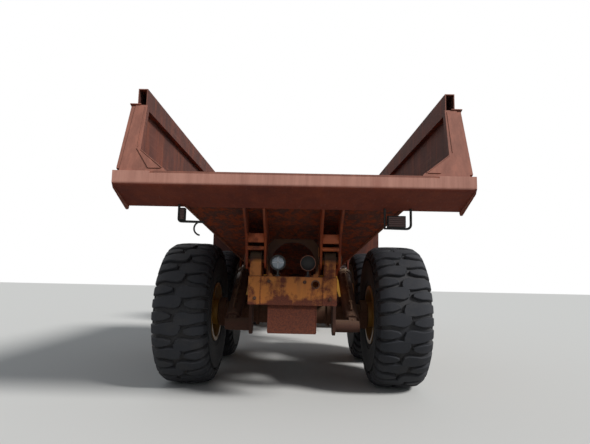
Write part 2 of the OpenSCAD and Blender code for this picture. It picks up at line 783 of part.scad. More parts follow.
module steer_barrel() {
    color([0.6, 0.38, 0.15]) steer_place() difference() {
        union() {
            bar_y(steer_r, 0, -steer_barrel_l, -neck_l, 0);
            block([-steer_eye_r + 8, -neck_l - 1, -steer_eye_t / 2], [steer_eye_r - 8, 0, steer_eye_t / 2]);
            bar_z(steer_eye_r, 0, 0, -steer_eye_t / 2, steer_eye_t / 2);
        }
        bar_z(30 + pin_fit, 0, 0, -steer_eye_t, steer_eye_t);
        bar_y(steer_rod_r + pin_fit, 0, -steer_barrel_l - 1, -steer_bore_end, 0);
    }
}

module steer_rod() {
    color([0.7, 0.7, 0.72]) steer_place() difference() {
        union() {
            bar_y(steer_rod_r, 0, -steer_l + 20, -steer_bore_end - steer_travel - 6, 0);
            bar_z(steer_eye_r, 0, -steer_l, -steer_eye_t / 2, steer_eye_t / 2);
        }
        bar_z(30, 0, -steer_l, -steer_eye_t, steer_eye_t);
    }
}

module steer_barrel_right() { steer_barrel(); }
module steer_barrel_left() { mirror([1, 0, 0]) steer_barrel(); }
module steer_rod_right() { steer_rod(); }
module steer_rod_left() { mirror([1, 0, 0]) steer_rod(); }

// Tractor

bonnet_y1 = nose_y - 110;
bonnet_z0 = 1270;
bonnet_pin_y = bonnet_y1 - 190;
bonnet_pin_z = bonnet_z0 + 30;
bonnet_ear_x = nose_rail_out - 40;
bonnet_lug_x = nose_rail_out + run_gap;
bulkhead_y = pivot_y + pivot_to_bulkhead;
nose_rail_z0 = frame_z0;
nose_rail_z1 = 1220;
bumper_z0 = 640;
bumper_z1 = 1080;
bumper_half = 1250;
rail_front = nose_y - bumper_d;
jaw_gap = 6;
jaw_z0 = yoke_half_h - yoke_t;
jaw_z1 = yoke_half_h + jaw_gap + yoke_t;
cab_y0 = pivot_y + pivot_to_cab;
cab_y1 = cab_y0 + cab_l;
cab_base_z0 = 1340;
steer_base_pin_r = 30;

module front_frame() {
    color([0.75, 0.48, 0.16]) {
        both_sides() {
            block([nose_rail_in, bulkhead_y, nose_rail_z0], [nose_rail_out, rail_front, nose_rail_z1]);
            // Bracket and pin of the steering cylinder
            for (z = [roll_z - steer_eye_t / 2 - 8 - lug_t, roll_z + steer_eye_t / 2 + 8])
                translate([0, 0, z]) linear_extrude(height = lug_t) {
                    polygon([
                        [nose_rail_out, steer_foot_y - 45], [steer_base_x, steer_foot_y - 50],
                        [steer_base_x, steer_foot_y + 50], [nose_rail_out, steer_foot_y + 160]
                    ]);
                    translate([steer_base_x, steer_foot_y]) circle(r = 50);
                }
            bar_z(steer_base_pin_r, steer_base_x, steer_foot_y, roll_z - 75, roll_z + 75);
            // Cab mounts on the rails
            for (y = [cab_y0 + 120, cab_y1 - 200])
                block([nose_rail_in, y, nose_rail_z1], [560, y + 120, cab_base_z0]);
        }
        both_sides() {
            block([bonnet_ear_x, bonnet_pin_y - 30, nose_rail_z1],
                [nose_rail_out - 10, bonnet_pin_y + 30, bonnet_pin_z + 20]);
            bar_x(12, nose_rail_out - 10, bonnet_lug_x + 30, bonnet_pin_y, bonnet_pin_z);
        }
        // Bulkhead and the jaws that take the yoke
        block([-nose_rail_out, bulkhead_y, nose_rail_z0 - 190],
            [nose_rail_out, bulkhead_y + 50, nose_rail_z1 + 240]);
        for (z = [roll_z - yoke_half_h - jaw_gap - yoke_t, roll_z + yoke_half_h + jaw_gap])
            translate([0, 0, z]) linear_extrude(height = yoke_t) {
                polygon([
                    [-nose_rail_out, bulkhead_y], [nose_rail_out, bulkhead_y],
                    [arm_half - 4, pivot_y - 20], [-arm_half + 4, pivot_y - 20]
                ]);
                translate([0, pivot_y]) circle(r = arm_half);
            }
        // Upper and lower steering pins
        for (z = [roll_z - jaw_z1, roll_z + jaw_z0])
            bar_z(steer_pin_r, 0, pivot_y, z, z + jaw_z1 - jaw_z0);
        for (y = [bulkhead_y + 600, front_axle_y - 420, rail_front - 160])
            block([-nose_rail_in, y, nose_rail_z0 + 40], [nose_rail_in, y + 80, nose_rail_z1 - 40]);
    }
}

module bumper() {
    color([0.75, 0.48, 0.16]) difference() {
        union() {
            translate([0, 0, bumper_z0]) linear_extrude(height = bumper_z1 - bumper_z0) polygon([
                [-bumper_half, rail_front], [bumper_half, rail_front], [bumper_half, rail_front + 90],
                [bumper_half - 260, nose_y - 20], [-bumper_half + 260, nose_y - 20],
                [-bumper_half, rail_front + 90]
            ]);
            block([-130, nose_y - 60, bumper_z0 + 120], [130, nose_y, bumper_z0 + 150]);
            block([-130, nose_y - 60, bumper_z0 + 230], [130, nose_y, bumper_z0 + 260]);
        }
        // Lamp pockets, towing recess and the towing pin's bore
        both_sides() block([660, nose_y - 100, bumper_z0 + 250], [920, nose_y, bumper_z1 - 40]);
        block([-130, nose_y - 150, bumper_z0 + 150], [130, nose_y + 1, bumper_z0 + 230]);
        bar_z(tow_eye_r, 0, nose_y - 62, bumper_z0 + 100, bumper_z1 + 1);
    }
}

module front_axle() {
    color([0.42, 0.3, 0.22]) {
        axle(front_axle_y, 205, 300, 0);
        // Rubber springs and their trailing links
        both_sides() {
            bar_z(80, (nose_rail_in + nose_rail_out) / 2, front_axle_y, axle_z + 60, nose_rail_z0);
            along_x(nose_rail_in + 20, nose_rail_out - 20) polygon([
                [front_axle_y - 60, axle_z + 20], [front_axle_y - 60, axle_z + 90],
                [front_axle_y - 640, nose_rail_z0], [front_axle_y - 760, nose_rail_z0],
                [front_axle_y - 700, nose_rail_z0 - 60]
            ]);
        }
    }
}

// Engine, and the gearbox behind it
engine_l = 1300;
engine_y = cab_y1 + 60;
engine_z0 = 930;
engine_z1 = 1780;
gearbox_z1 = 1300;

module engine() {
    color([0.3, 0.3, 0.3]) {
        block([-nose_rail_in, engine_y, engine_z0], [nose_rail_in, engine_y + engine_l, engine_z1]);
        block([-200, front_axle_y + 280, 1040], [200, engine_y, gearbox_z1]);
    }
}

step_half = 190;
fender_in = wheel_x - tyre_w / 2 - 40;
fender_top_z = cab_floor_z - 10;

// A fender seen from the side, its arch widened by out and raised by up
function fender_outline(out, up) = [
    [front_axle_y - fender_r - out, axle_z + 150], [front_axle_y - fender_r - out, axle_z + 400 + up / 2],
    [front_axle_y - 552 - up / 2, fender_top_z - fender_t + up],
    [front_axle_y + 552 + up / 2, fender_top_z - fender_t + up],
    [front_axle_y + fender_r + out, axle_z + 460 + up / 2], [front_axle_y + fender_r + out, axle_z + 150]
];

module fenders() {
    color([0.75, 0.48, 0.16]) both_sides() {
        // Arch over the wheel, flat on top
        along_x(fender_in + 20, wheel_x + tyre_w / 2 + 25) difference() {
            polygon(fender_outline(fender_t, fender_t));
            polygon(fender_outline(0, 0));
            translate([front_axle_y - fender_r, axle_z + 149]) square([2 * fender_r, 60]);
        }
        // Inner skirt, up to the side of the cab and bonnet
        along_x(fender_in, fender_in + 20) intersection() {
            polygon(fender_outline(fender_t, fender_t));
            translate([front_axle_y - 2 * fender_r, nose_rail_z1]) square([4 * fender_r, 2 * fender_r]);
        }
        // Bearers from the frame rails
        for (y = [front_axle_y - 520, front_axle_y + 440])
            block([nose_rail_out, y, nose_rail_z1 - 90], [fender_in, y + 80, nose_rail_z1 + 30]);
    }
}

tank_half_l = 300;
tank_in = 680;
tank_out = 1260;
tank_z0 = 700;
tank_z1 = 1320;
tank_y = pivot_y + 660;

module side_tanks() {
    color([0.6, 0.38, 0.15]) both_sides() {
        difference() {
            along_y(tank_y - tank_half_l, tank_y + tank_half_l) polygon([
                [tank_in, tank_z0], [tank_out - 80, tank_z0], [tank_out, tank_z0 + 80],
                [tank_out, tank_z1 - 80], [tank_out - 80, tank_z1], [tank_in, tank_z1]
            ]);
            // Step recesses
            for (z = [820, 1090])
                block([tank_out - 80, tank_y - step_half, z], [tank_out + 1, tank_y + step_half, z + 170]);
        }
        for (y = [tank_y - 220, tank_y + 60])
            block([nose_rail_in, y, nose_rail_z1], [tank_in, y + 80, nose_rail_z1 + 60]);
        // Filler neck
        bar_z(60, 900, tank_y + 180, tank_z1, tank_z1 + 50);
    }
}

// Cab

sill_z = cab_floor_z + 50;
window_z0 = 2180;
window_z1 = cab_top_z - 210;
cab_wall_top = cab_top_z - 110;
door_y0 = cab_y0 + 330;
door_y1 = cab_y1 - 330;
screen_run = 130;
screen_half = cab_half - 110;
scuttle_z = window_z0 - 60;
cab_skirt_z = cab_floor_z - 130;
glass_t = 8;
door_t = 45;

// Outline of the cab seen from the side, its windscreen leaning forward at the foot
cab_outline = [
    [cab_y0, cab_skirt_z], [cab_y0, cab_wall_top], [cab_y1 - screen_run, cab_wall_top],
    [cab_y1, scuttle_z], [cab_y1, cab_skirt_z]
];

// Door on the left, hinged at its front edge on two pins
door_x = -cab_half - 8;
door_pin_x = door_x - door_t;
door_pin_y = door_y1 + 47;
door_hinges = [sill_z + 120, window_z1 - 220];

module cab_frame() {
    color([0.75, 0.48, 0.16]) {
        for (z = door_hinges) {
            bar_z(9, door_pin_x, door_pin_y, z - 12, z + 92);
            for (leaf = [z - 12, z + 80])
                block([door_pin_x - 12, door_pin_y - 12, leaf], [-cab_half, door_pin_y + 18, leaf + 12]);
        }
        // Base between the frame rails and the floor
        block([-600, cab_y0 + 60, cab_base_z0], [600, cab_y1 - 40, cab_skirt_z]);
        difference() {
            along_x(-cab_half, cab_half) polygon(cab_outline);
            along_x(-cab_half + cab_t, cab_half - cab_t) polygon([
                [cab_y0 + cab_t, cab_floor_z], [cab_y0 + cab_t, cab_top_z],
                [cab_y1 - screen_run - cab_t, cab_top_z], [cab_y1 - screen_run - cab_t, cab_wall_top - 1],
                [cab_y1 - cab_t, scuttle_z], [cab_y1 - cab_t, cab_floor_z]
            ]);
            // Windscreen and rear window
            block([-screen_half, cab_y1 - 400, window_z0], [screen_half, cab_y1 + 1, window_z1]);
            block([-screen_half, cab_y0 - 1, window_z0 + 60], [screen_half, cab_y0 + cab_t + 1, window_z1]);
            // Side windows on the right, door opening on the left
            block([cab_half - cab_t - 1, cab_y0 + 120, window_z0], [cab_half + 1, door_y0 - 60, window_z1]);
            block([cab_half - cab_t - 1, door_y0, window_z0], [cab_half + 1, cab_y1 - 260, window_z1]);
            block([-cab_half - 1, cab_y0 + 120, window_z0],
                [-cab_half + cab_t + 1, door_y0 - 60, window_z1]);
            block([-cab_half - 1, door_y0, sill_z], [-cab_half + cab_t + 1, door_y1, window_z1 + 20]);
        }
    }
}

module cab_roof() {
    color([0.8, 0.78, 0.72]) difference() {
        along_x(-cab_half - 20, cab_half + 20) polygon([
            [cab_y0 - 20, cab_wall_top], [cab_y0 - 20, cab_top_z - 40], [cab_y0 + 60, cab_top_z],
            [cab_y1 - 160, cab_top_z], [cab_y1 - 40, cab_top_z - 50], [cab_y1 - 20, cab_wall_top]
        ]);
        block([-cab_half + cab_t, cab_y0 + cab_t, cab_wall_top - 1],
            [cab_half - cab_t, cab_y1 - screen_run - cab_t, cab_top_z - 60]);
    }
}

// Panes that lie in the middle of the cab's walls
module cab_glass() {
    color([0.6, 0.7, 0.75, 0.6]) {
        mid = cab_t / 2;
        screen_lean = atan2(screen_run, cab_wall_top - scuttle_z);
        translate([0, cab_y1 - mid - glass_t / 2, scuttle_z]) rotate([screen_lean, 0, 0])
            block([-screen_half + seat_gap, -glass_t / 2, 72],
                [screen_half - seat_gap, glass_t / 2, window_z1 - window_z0 + 52]);
        block([-screen_half + seat_gap, cab_y0 + mid - glass_t / 2, window_z0 + 60 + seat_gap],
            [screen_half - seat_gap, cab_y0 + mid + glass_t / 2, window_z1 - seat_gap]);
        for (x = [-cab_half + mid, cab_half - mid])
            block([x - glass_t / 2, cab_y0 + 120 + seat_gap, window_z0 + seat_gap],
                [x + glass_t / 2, door_y0 - 60 - seat_gap, window_z1 - seat_gap]);
        block([cab_half - mid - glass_t / 2, door_y0 + seat_gap, window_z0 + seat_gap],
            [cab_half - mid + glass_t / 2, cab_y1 - 260 - seat_gap, window_z1 - seat_gap]);
    }
}

module door() {
    color([0.75, 0.48, 0.16]) {
        // Knuckles on the cab's hinge pins
        for (z = door_hinges) difference() {
            union() {
                bar_z(20, door_pin_x, door_pin_y, z + 0.5, z + 79.5);
                block([door_pin_x - 10, door_y1 + 20, z + 5], [door_pin_x + 20, door_pin_y, z + 75]);
            }
            bar_z(9 + pin_fit, door_pin_x, door_pin_y, z, z + 80);
        }
        difference() {
            block([door_x - door_t, door_y0 - 25, sill_z - 20], [door_x, door_y1 + 25, window_z1 + 45]);
            block([door_x - door_t - 1, door_y0 + 60, window_z0],
                [door_x + 1, door_y1 - 50, window_z1 - 30]);
        }
        bar_z(9, door_x - door_t - 30, door_y0 + 40, window_z0 - 260, window_z0 - 60);
        for (z = [window_z0 - 260, window_z0 - 78])
            block([door_x - door_t - 30, door_y0 + 31, z], [door_x - door_t, door_y0 + 49, z + 18]);
    }
}

module door_glass() {
    color([0.6, 0.7, 0.75, 0.6])
        block([door_x - door_t / 2 - glass_t / 2, door_y0 + 60 + seat_gap, window_z0 + seat_gap],
            [door_x - door_t / 2 + glass_t / 2, door_y1 - 50 - seat_gap, window_z1 - 30 - seat_gap]);
}

seat_y = cab_y0 + 560;

module driver_seat() {
    color([0.15, 0.15, 0.16]) {
        block([-130, seat_y - 180, cab_floor_z + seat_gap], [130, seat_y + 180, cab_floor_z + 330]);
        block([-250, seat_y - 260, cab_floor_z + 330], [250, seat_y + 260, cab_floor_z + 450]);
        translate([0, seat_y - 250, cab_floor_z + 400]) rotate([12, 0, 0])
            block([-240, -110, 0], [240, 10, 640]);
    }
}

module dash_console() {
    color([0.2, 0.2, 0.2]) {
        along_x(-520, 520) polygon([
            [cab_y1 - cab_t - 360, cab_floor_z + 620], [cab_y1 - cab_t - 330, cab_floor_z + 760],
            [cab_y1 - cab_t - 120, cab_floor_z + 700], [cab_y1 - cab_t - 60, cab_floor_z + seat_gap],
            [cab_y1 - cab_t - 220, cab_floor_z + seat_gap]
        ]);
        translate([0, cab_y1 - cab_t - 320, cab_floor_z + 700]) rotate([55, 0, 0]) {
            cylinder(r = 28, h = 165);
            translate([0, 0, 150]) rotate_extrude() translate([200, 0]) circle(r = 16, $fn = 8);
            for (a = [90, 210, 330]) rotate([0, 0, a]) translate([0, -14, 143]) cube([195, 28, 13]);
        }
    }
}

stack_x = 930;
stack_y = cab_y0 - 140;
muffler_z1 = window_z0 + 420;

module exhaust() {
    color([0.25, 0.2, 0.18]) {
        bar_z(110, stack_x, stack_y, muffler_z1 - 700, muffler_z1);
        bar_z(60, stack_x, stack_y, tank_z1, muffler_z1 - 700);
        difference() {
            bar_z(55, stack_x, stack_y, muffler_z1, window_z1);
            bar_z(48, stack_x, stack_y, muffler_z1 + 60, window_z1 + 1);
        }
        block([cab_half, cab_y0, 2200], [stack_x, cab_y0 + 40, 2240]);
        bar_y(16, stack_x, stack_y, cab_y0 + 20, 2220);
    }
}

mirror_x = cab_half + 400;

module mirrors() {
    color([0.12, 0.12, 0.12]) both_sides() {
        bar_x(14, cab_half, mirror_x, cab_y1 - 60, window_z0 - 40);
        bar_z(14, mirror_x, cab_y1 - 60, window_z0 - 54, window_z0 + 680);
        block([mirror_x - 60, cab_y1 - 90, window_z0 + 200], [mirror_x + 150, cab_y1 - 50, window_z0 + 620]);
    }
}

bonnet_y0 = cab_y1 + 20;
grille_bars = 9;

function bonnet_side(inset) = [
    [bonnet_y0 - (inset > 0 ? 1 : 0), bonnet_z0 - (inset > 0 ? 1 : 0)],
    [bonnet_y0 - (inset > 0 ? 1 : 0), bonnet_rear_z - inset],
    [bonnet_y1 - 260, bonnet_front_z - inset], [bonnet_y1 - inset - 60, bonnet_front_z - 110 - inset * 0.5],
    [bonnet_y1 - inset, bonnet_z0 - (inset > 0 ? 1 : 0)]
];

module bonnet() {
    // Lugs that turn on the front frame's pins
    color([0.75, 0.48, 0.16]) both_sides() difference() {
        along_x(bonnet_lug_x, bonnet_lug_x + 20) {
            polygon([
                [bonnet_pin_y, bonnet_z0 + 2], [bonnet_y1 - bonnet_t / 2, bonnet_z0 + 2],
                [bonnet_y1 - bonnet_t / 2, bonnet_z0 + 58], [bonnet_pin_y, bonnet_z0 + 58]
            ]);
            translate([bonnet_pin_y, bonnet_pin_z]) circle(r = 28);
        }
        bar_x(12 + pin_fit, bonnet_lug_x - 1, bonnet_lug_x + 21, bonnet_pin_y, bonnet_pin_z);
    }
    color([0.75, 0.48, 0.16]) difference() {
        along_x(-bonnet_half, bonnet_half) polygon(bonnet_side(0));
        along_x(-bonnet_half + bonnet_t, bonnet_half - bonnet_t) polygon(bonnet_side(bonnet_t));
        // Grille slots through the nose
        for (i = [0:grille_bars - 1])
            block([-480, bonnet_y1 - 140, bonnet_z0 + 70 + i * 48],
                [480, bonnet_y1 + 1, bonnet_z0 + 96 + i * 48]);
        // Louvres in the sides
        for (i = [0:5])
            block([-bonnet_half - 1, bonnet_y0 + 480 + i * 90, 1640],
                [bonnet_half + 1, bonnet_y0 + 520 + i * 90, 1860]);
    }
}

// Each wheel by its name

module tyre_front_left() wheel_place(front_axle_y, -1) tyre();
module tyre_front_right() wheel_place(front_axle_y, 1) tyre();
module tyre_mid_left() wheel_place(mid_axle_y, -1) tyre();
module tyre_mid_right() wheel_place(mid_axle_y, 1) tyre();
module tyre_rear_left() wheel_place(rear_axle_y, -1) tyre();
module tyre_rear_right() wheel_place(rear_axle_y, 1) tyre();
module rim_front_left() wheel_place(front_axle_y, -1) rim();
module rim_front_right() wheel_place(front_axle_y, 1) rim();
module rim_mid_left() wheel_place(mid_axle_y, -1) rim();
module rim_mid_right() wheel_place(mid_axle_y, 1) rim();
module rim_rear_left() wheel_place(rear_axle_y, -1) rim();
module rim_rear_right() wheel_place(rear_axle_y, 1) rim();

rear_frame();
hoist_feet();
rear_axles();
bogie_beams();
propshafts();
reversing_lamps();
body_floor();
body_side_left();
body_side_right();
headboard();
tail_beam();
body_sills();
mudguards();
tail_lamps();
hoist_barrels();
hoist_rods();
hitch_yoke();
front_frame();
bumper();
front_axle();
engine();
fenders();
side_tanks();
cab_frame();
cab_roof();
cab_glass();
driver_seat();
dash_console();
exhaust();
mirrors();
door();
door_glass();
bonnet();
steer_barrel_left();
steer_barrel_right();
steer_rod_left();
steer_rod_right();
tyre_front_left();
tyre_front_right();
tyre_mid_left();
tyre_mid_right();
tyre_rear_left();
tyre_rear_right();
rim_front_left();
rim_front_right();
rim_mid_left();
rim_mid_right();
rim_rear_left();
rim_rear_right();
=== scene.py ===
import json
import math

import bmesh
import bpy
from mathutils import Matrix, Vector


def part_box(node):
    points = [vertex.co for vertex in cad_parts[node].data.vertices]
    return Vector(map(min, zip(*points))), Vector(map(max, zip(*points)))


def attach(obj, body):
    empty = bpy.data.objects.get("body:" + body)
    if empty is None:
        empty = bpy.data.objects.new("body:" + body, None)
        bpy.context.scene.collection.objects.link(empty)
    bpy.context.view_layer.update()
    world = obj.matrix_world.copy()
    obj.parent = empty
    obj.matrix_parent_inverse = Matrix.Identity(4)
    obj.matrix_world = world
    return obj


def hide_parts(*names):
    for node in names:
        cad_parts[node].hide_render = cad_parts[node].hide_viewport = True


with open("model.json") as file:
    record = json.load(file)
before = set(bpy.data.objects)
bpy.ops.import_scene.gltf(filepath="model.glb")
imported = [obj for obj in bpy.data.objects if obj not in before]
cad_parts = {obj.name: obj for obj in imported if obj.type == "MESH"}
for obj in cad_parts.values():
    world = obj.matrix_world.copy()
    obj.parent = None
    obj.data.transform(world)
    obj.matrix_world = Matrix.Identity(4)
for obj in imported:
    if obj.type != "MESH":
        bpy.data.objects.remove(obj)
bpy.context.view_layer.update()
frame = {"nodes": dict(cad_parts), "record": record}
nodes = frame["nodes"]
scene = bpy.context.scene
print("frame loaded:", len(nodes), "nodes")


def shifted(x, y, z):
    return Matrix.Translation((x, y, z))


def turned(degrees, axis):
    return Matrix.Rotation(math.radians(degrees), 4, axis)


# Camera and studio

cameraLook = {
    "place": (0.049, -8.677, 1.269),     # metres
    "focalMm": 27.03,
    "sensorMm": 36.0,
    "pitchUp": 6.655,                    # degrees
    "turnLeft": 0.507,
    "roll": 1.208,
    "reach": 200.0,
}


def placeCamera(look):
    data = bpy.data.cameras.new("photoCamera")
    data.sensor_width = look["sensorMm"]
    data.lens = look["focalMm"]
    data.clip_end = look["reach"]
    camera = bpy.data.objects.new("photoCamera", data)
    scene.collection.objects.link(camera)
    camera.matrix_world = (shifted(*look["place"]) @ turned(look["turnLeft"], "Z")
                           @ turned(90 + look["pitchUp"], "X") @ turned(look["roll"], "Z"))
    scene.camera = camera


placeCamera(cameraLook)


def toLinear(hexText):
    channels = [int(hexText[i:i + 2], 16) / 255 for i in (1, 3, 5)]
    return [c / 12.92 if c <= 0.04045 else ((c + 0.055) / 1.055) ** 2.4 for c in channels] + [1.0]


def addNode(tree, kind, sockets=None, **settings):
    # A node or one of its outputs is linked to the socket; a number, tuple or hex colour is set
    shader = not kind.startswith(("Geometry", "NodeGroup"))
    node = tree.nodes.new("ShaderNode" + kind if shader else kind)
    for name, value in settings.items():
        setattr(node, name, value)
    for name, value in (sockets or {}).items():
        if isinstance(value, bpy.types.Node):
            # A colour mix gives its colour from its third output, all others use the first
            value = value.outputs[2 if value.bl_idname == "ShaderNodeMix" else 0]
        if isinstance(value, bpy.types.NodeSocket):
            tree.links.new(value, node.inputs[name])
        else:
            hexColour = isinstance(value, str)
            node.inputs[name].default_value = toLinear(value) if hexColour else value
    return node


def newMaterial(name):
    material = bpy.data.materials.new(name)
    material.use_nodes = True
    material.node_tree.nodes.clear()
    material.diffuse_color = (0.6, 0.4, 0.2, 1.0)    # only for the viewport
    return material, material.node_tree


studio = {
    "floorSize": 60.0,
    "floorSeen": "#d9d8d4",          # pale floor as the camera sees it
    "floorBounce": "#6f6a62",        # what it sends back up under the truck
    "keyStrength": 3.0,
    "keyTurn": (52.0, 0.0, 58.0),    # degrees, from the right and behind
    "keySpread": 14.0,               # degrees, for soft shadow edges
    "skyLight": "#dfe6ee",
    "skyStrength": 0.38,
}


def seenRays(tree):
    # 1 for what the camera sees itself, in a reflection or through glass
    rays = addNode(tree, "LightPath")
    seen = rays.outputs["Is Camera Ray"]
    for label in ("Is Glossy Ray", "Is Transmission Ray"):
        seen = addNode(tree, "Math", {0: seen, 1: rays.outputs[label]}, operation="MAXIMUM")
    return seen


def buildStudio(look):
    material, tree = newMaterial("paleStudioFloor")
    tone = addNode(tree, "Mix", {0: seenRays(tree), 6: look["floorBounce"], 7: look["floorSeen"]},
                   data_type="RGBA")
    shader = addNode(tree, "BsdfDiffuse", {"Color": tone})
    addNode(tree, "OutputMaterial", {"Surface": shader})
    half = look["floorSize"] / 2
    mesh = bpy.data.meshes.new("studioFloor")
    mesh.from_pydata([(-half, -half, 0), (half, -half, 0), (half, half, 0), (-half, half, 0)],
                     [], [(0, 1, 2, 3)])
    mesh.materials.append(material)
    floor = bpy.data.objects.new("studioFloor", mesh)
    scene.collection.objects.link(floor)

    lamp = bpy.data.lights.new("keyLight", "SUN")
    lamp.energy = look["keyStrength"]
    lamp.angle = math.radians(look["keySpread"])
    key = bpy.data.objects.new("keyLight", lamp)
    key.rotation_euler = [math.radians(a) for a in look["keyTurn"]]
    scene.collection.objects.link(key)

    world = bpy.data.worlds.new("studioSky")
    scene.world = world
    world.use_nodes = True
    tree = world.node_tree
    tree.nodes.clear()
    light = addNode(tree, "Background", {"Color": look["skyLight"],
                                         "Strength": look["skyStrength"]})
    white = addNode(tree, "Background", {"Color": "#ffffff", "Strength": 1.0})
    both = addNode(tree, "MixShader", {0: seenRays(tree), 1: light, 2: white})
    addNode(tree, "OutputWorld", {"Surface": both})


buildStudio(studio)
scene.view_settings.view_transform = "Standard"
print("camera and studio ready")


# Finishes: sizes ending in Mm are millimetres, scales are grains per metre

def wornPaint(name, look):
    # Sprayed enamel on steel plate: faded, chipped through to rust at edges and in patches
    material, tree = newMaterial(name)
    spot = addNode(tree, "TexCoord")
    place = spot.outputs["Object"]
    fade = addNode(tree, "TexNoise", {"Vector": place, "Scale": look["fadeScale"], "Detail": 5.0,
                                      "Roughness": 0.6})
    blotch = addNode(tree, "TexNoise", {"Vector": place, "Scale": 1000 / look["patchMm"],
                                        "Detail": 9.0, "Roughness": 0.68})
    grit = addNode(tree, "TexNoise", {"Vector": place, "Scale": 1000 / look["gritMm"],
                                      "Detail": 4.0})
    stretched = addNode(tree, "Mapping", {"Vector": place, "Scale": look["streakScale"]})
    streak = addNode(tree, "TexNoise", {"Vector": stretched, "Scale": 1.0, "Detail": 6.0,
                                        "Roughness": 0.7})
    # Edges: the rounded normal differs from the flat one
    rounded = addNode(tree, "Bevel", {"Radius": look["edgeMm"] / 1000}, samples=4)
    flat = addNode(tree, "NewGeometry")
    sameWay = addNode(tree, "VectorMath", {0: rounded, 1: flat.outputs["Normal"]},
                      operation="DOT_PRODUCT")
    edge = addNode(tree, "MapRange", {"Value": sameWay.outputs["Value"], "From Min": 0.995,
                                      "From Max": 0.80, "To Min": 0.0, "To Max": 0.30})
    lifted = addNode(tree, "Math", {0: blotch, 1: edge}, operation="ADD")
    streaked = addNode(tree, "Math", {0: streak, 1: look["streaks"], 2: lifted},
                       operation="MULTIPLY_ADD")
    # Mud and spray keep the lower parts wet, so they rust first
    height = addNode(tree, "SeparateXYZ", {0: place})
    wet = addNode(tree, "MapRange", {
        "Value": height.outputs["Z"], "From Min": look["rustBelow"] + 0.06,
        "From Max": look["rustBelow"] - 0.12, "To Max": look["belowShare"]})
    attacked = addNode(tree, "Math", {0: streaked, 1: wet}, operation="ADD")
    rusty = addNode(tree, "MapRange", {"Value": attacked, "From Min": look["rustFrom"],
                                       "From Max": look["rustFrom"] + look["rustSoft"]})
    colour = addNode(tree, "Mix", {0: fade, 6: look["paint"], 7: look["paintFaded"]},
                     data_type="RGBA")
    tint = addNode(tree, "MapRange", {"Value": grit, "From Min": 0.35, "From Max": 0.65})
    rust = addNode(tree, "Mix", {0: tint, 6: look["rust"], 7: look["rustDark"]}, data_type="RGBA")
    skin = addNode(tree, "Mix", {0: rusty, 6: colour, 7: rust}, data_type="RGBA")
    # Rain draws grime down the sides, and splashed mud greys the lower panels
    drawn = addNode(tree, "MapRange", {"Value": streak, "From Min": 0.46, "From Max": 0.72,
                                       "To Max": look["grime"]})
    splash = addNode(tree, "Math", {0: blotch, 1: -0.55, 2: height.outputs["Z"]},
                     operation="MULTIPLY_ADD")
    muddy = addNode(tree, "MapRange", {"Value": splash, "From Min": look["mudTop"],
                                       "From Max": look["mudTop"] - 0.75, "To Max": look["mud"]})
    soiled = addNode(tree, "Math", {0: drawn, 1: muddy}, operation="MAXIMUM")
    dirty = addNode(tree, "Mix", {0: soiled, 6: skin, 7: look["grimeTone"]}, data_type="RGBA")
    # Painted shade: darker above a height over the middle that lies under the body, and a little
    # higher up on the pin bosses
    across = addNode(tree, "Math", {0: height.outputs["X"]}, operation="ABSOLUTE")
    paintedShadeEdge = addNode(tree, "MapRange", {
        "Value": across, "From Min": look["paintedShadeHalf"], "From Max": look["bossFrom"],
        "To Min": look["paintedShadeFrom"], "To Max": look["paintedShadeFrom"] + look["bossRise"]})
    over = addNode(tree, "Math", {0: height.outputs["Z"], 1: paintedShadeEdge}, operation="SUBTRACT")
    paintedShade = addNode(tree, "MapRange", {"Value": over, "From Min": 0.0, "From Max": 0.04,
                                       "To Max": 0.94})
    paintedShadeColour = addNode(tree, "Mix", {0: paintedShade, 6: dirty, 7: look["paintedShadeTone"]}, data_type="RGBA")
    # Dust settles on what faces up
    up = addNode(tree, "SeparateXYZ", {0: spot.outputs["Normal"]})
    shelf = addNode(tree, "MapRange", {"Value": up.outputs["Z"], "From Min": 0.2,
                                       "From Max": 0.95, "To Max": look["dust"]})
    dusty = addNode(tree, "Math", {0: shelf, 1: fade}, operation="MULTIPLY")
    worn = addNode(tree, "Mix", {0: dusty, 6: paintedShadeColour, 7: look["dustTone"]}, data_type="RGBA")
    matt = addNode(tree, "Math", {0: rusty, 1: paintedShade}, operation="MAXIMUM")
    gloss = addNode(tree, "MapRange", {"Value": matt, "To Min": look["roughness"], "To Max": 0.9})
    relief = addNode(tree, "Math", {0: rusty, 1: 0.6, 2: grit}, operation="MULTIPLY_ADD")
    bump = addNode(tree, "Bump", {"Height": relief, "Strength": 0.6,
                                  "Distance": look["bumpMm"] / 1000})
    shader = addNode(tree, "BsdfPrincipled", {"Base Color": worn, "Roughness": gloss,
                                              "Normal": bump})
    addNode(tree, "OutputMaterial", {"Surface": shader})
    return material


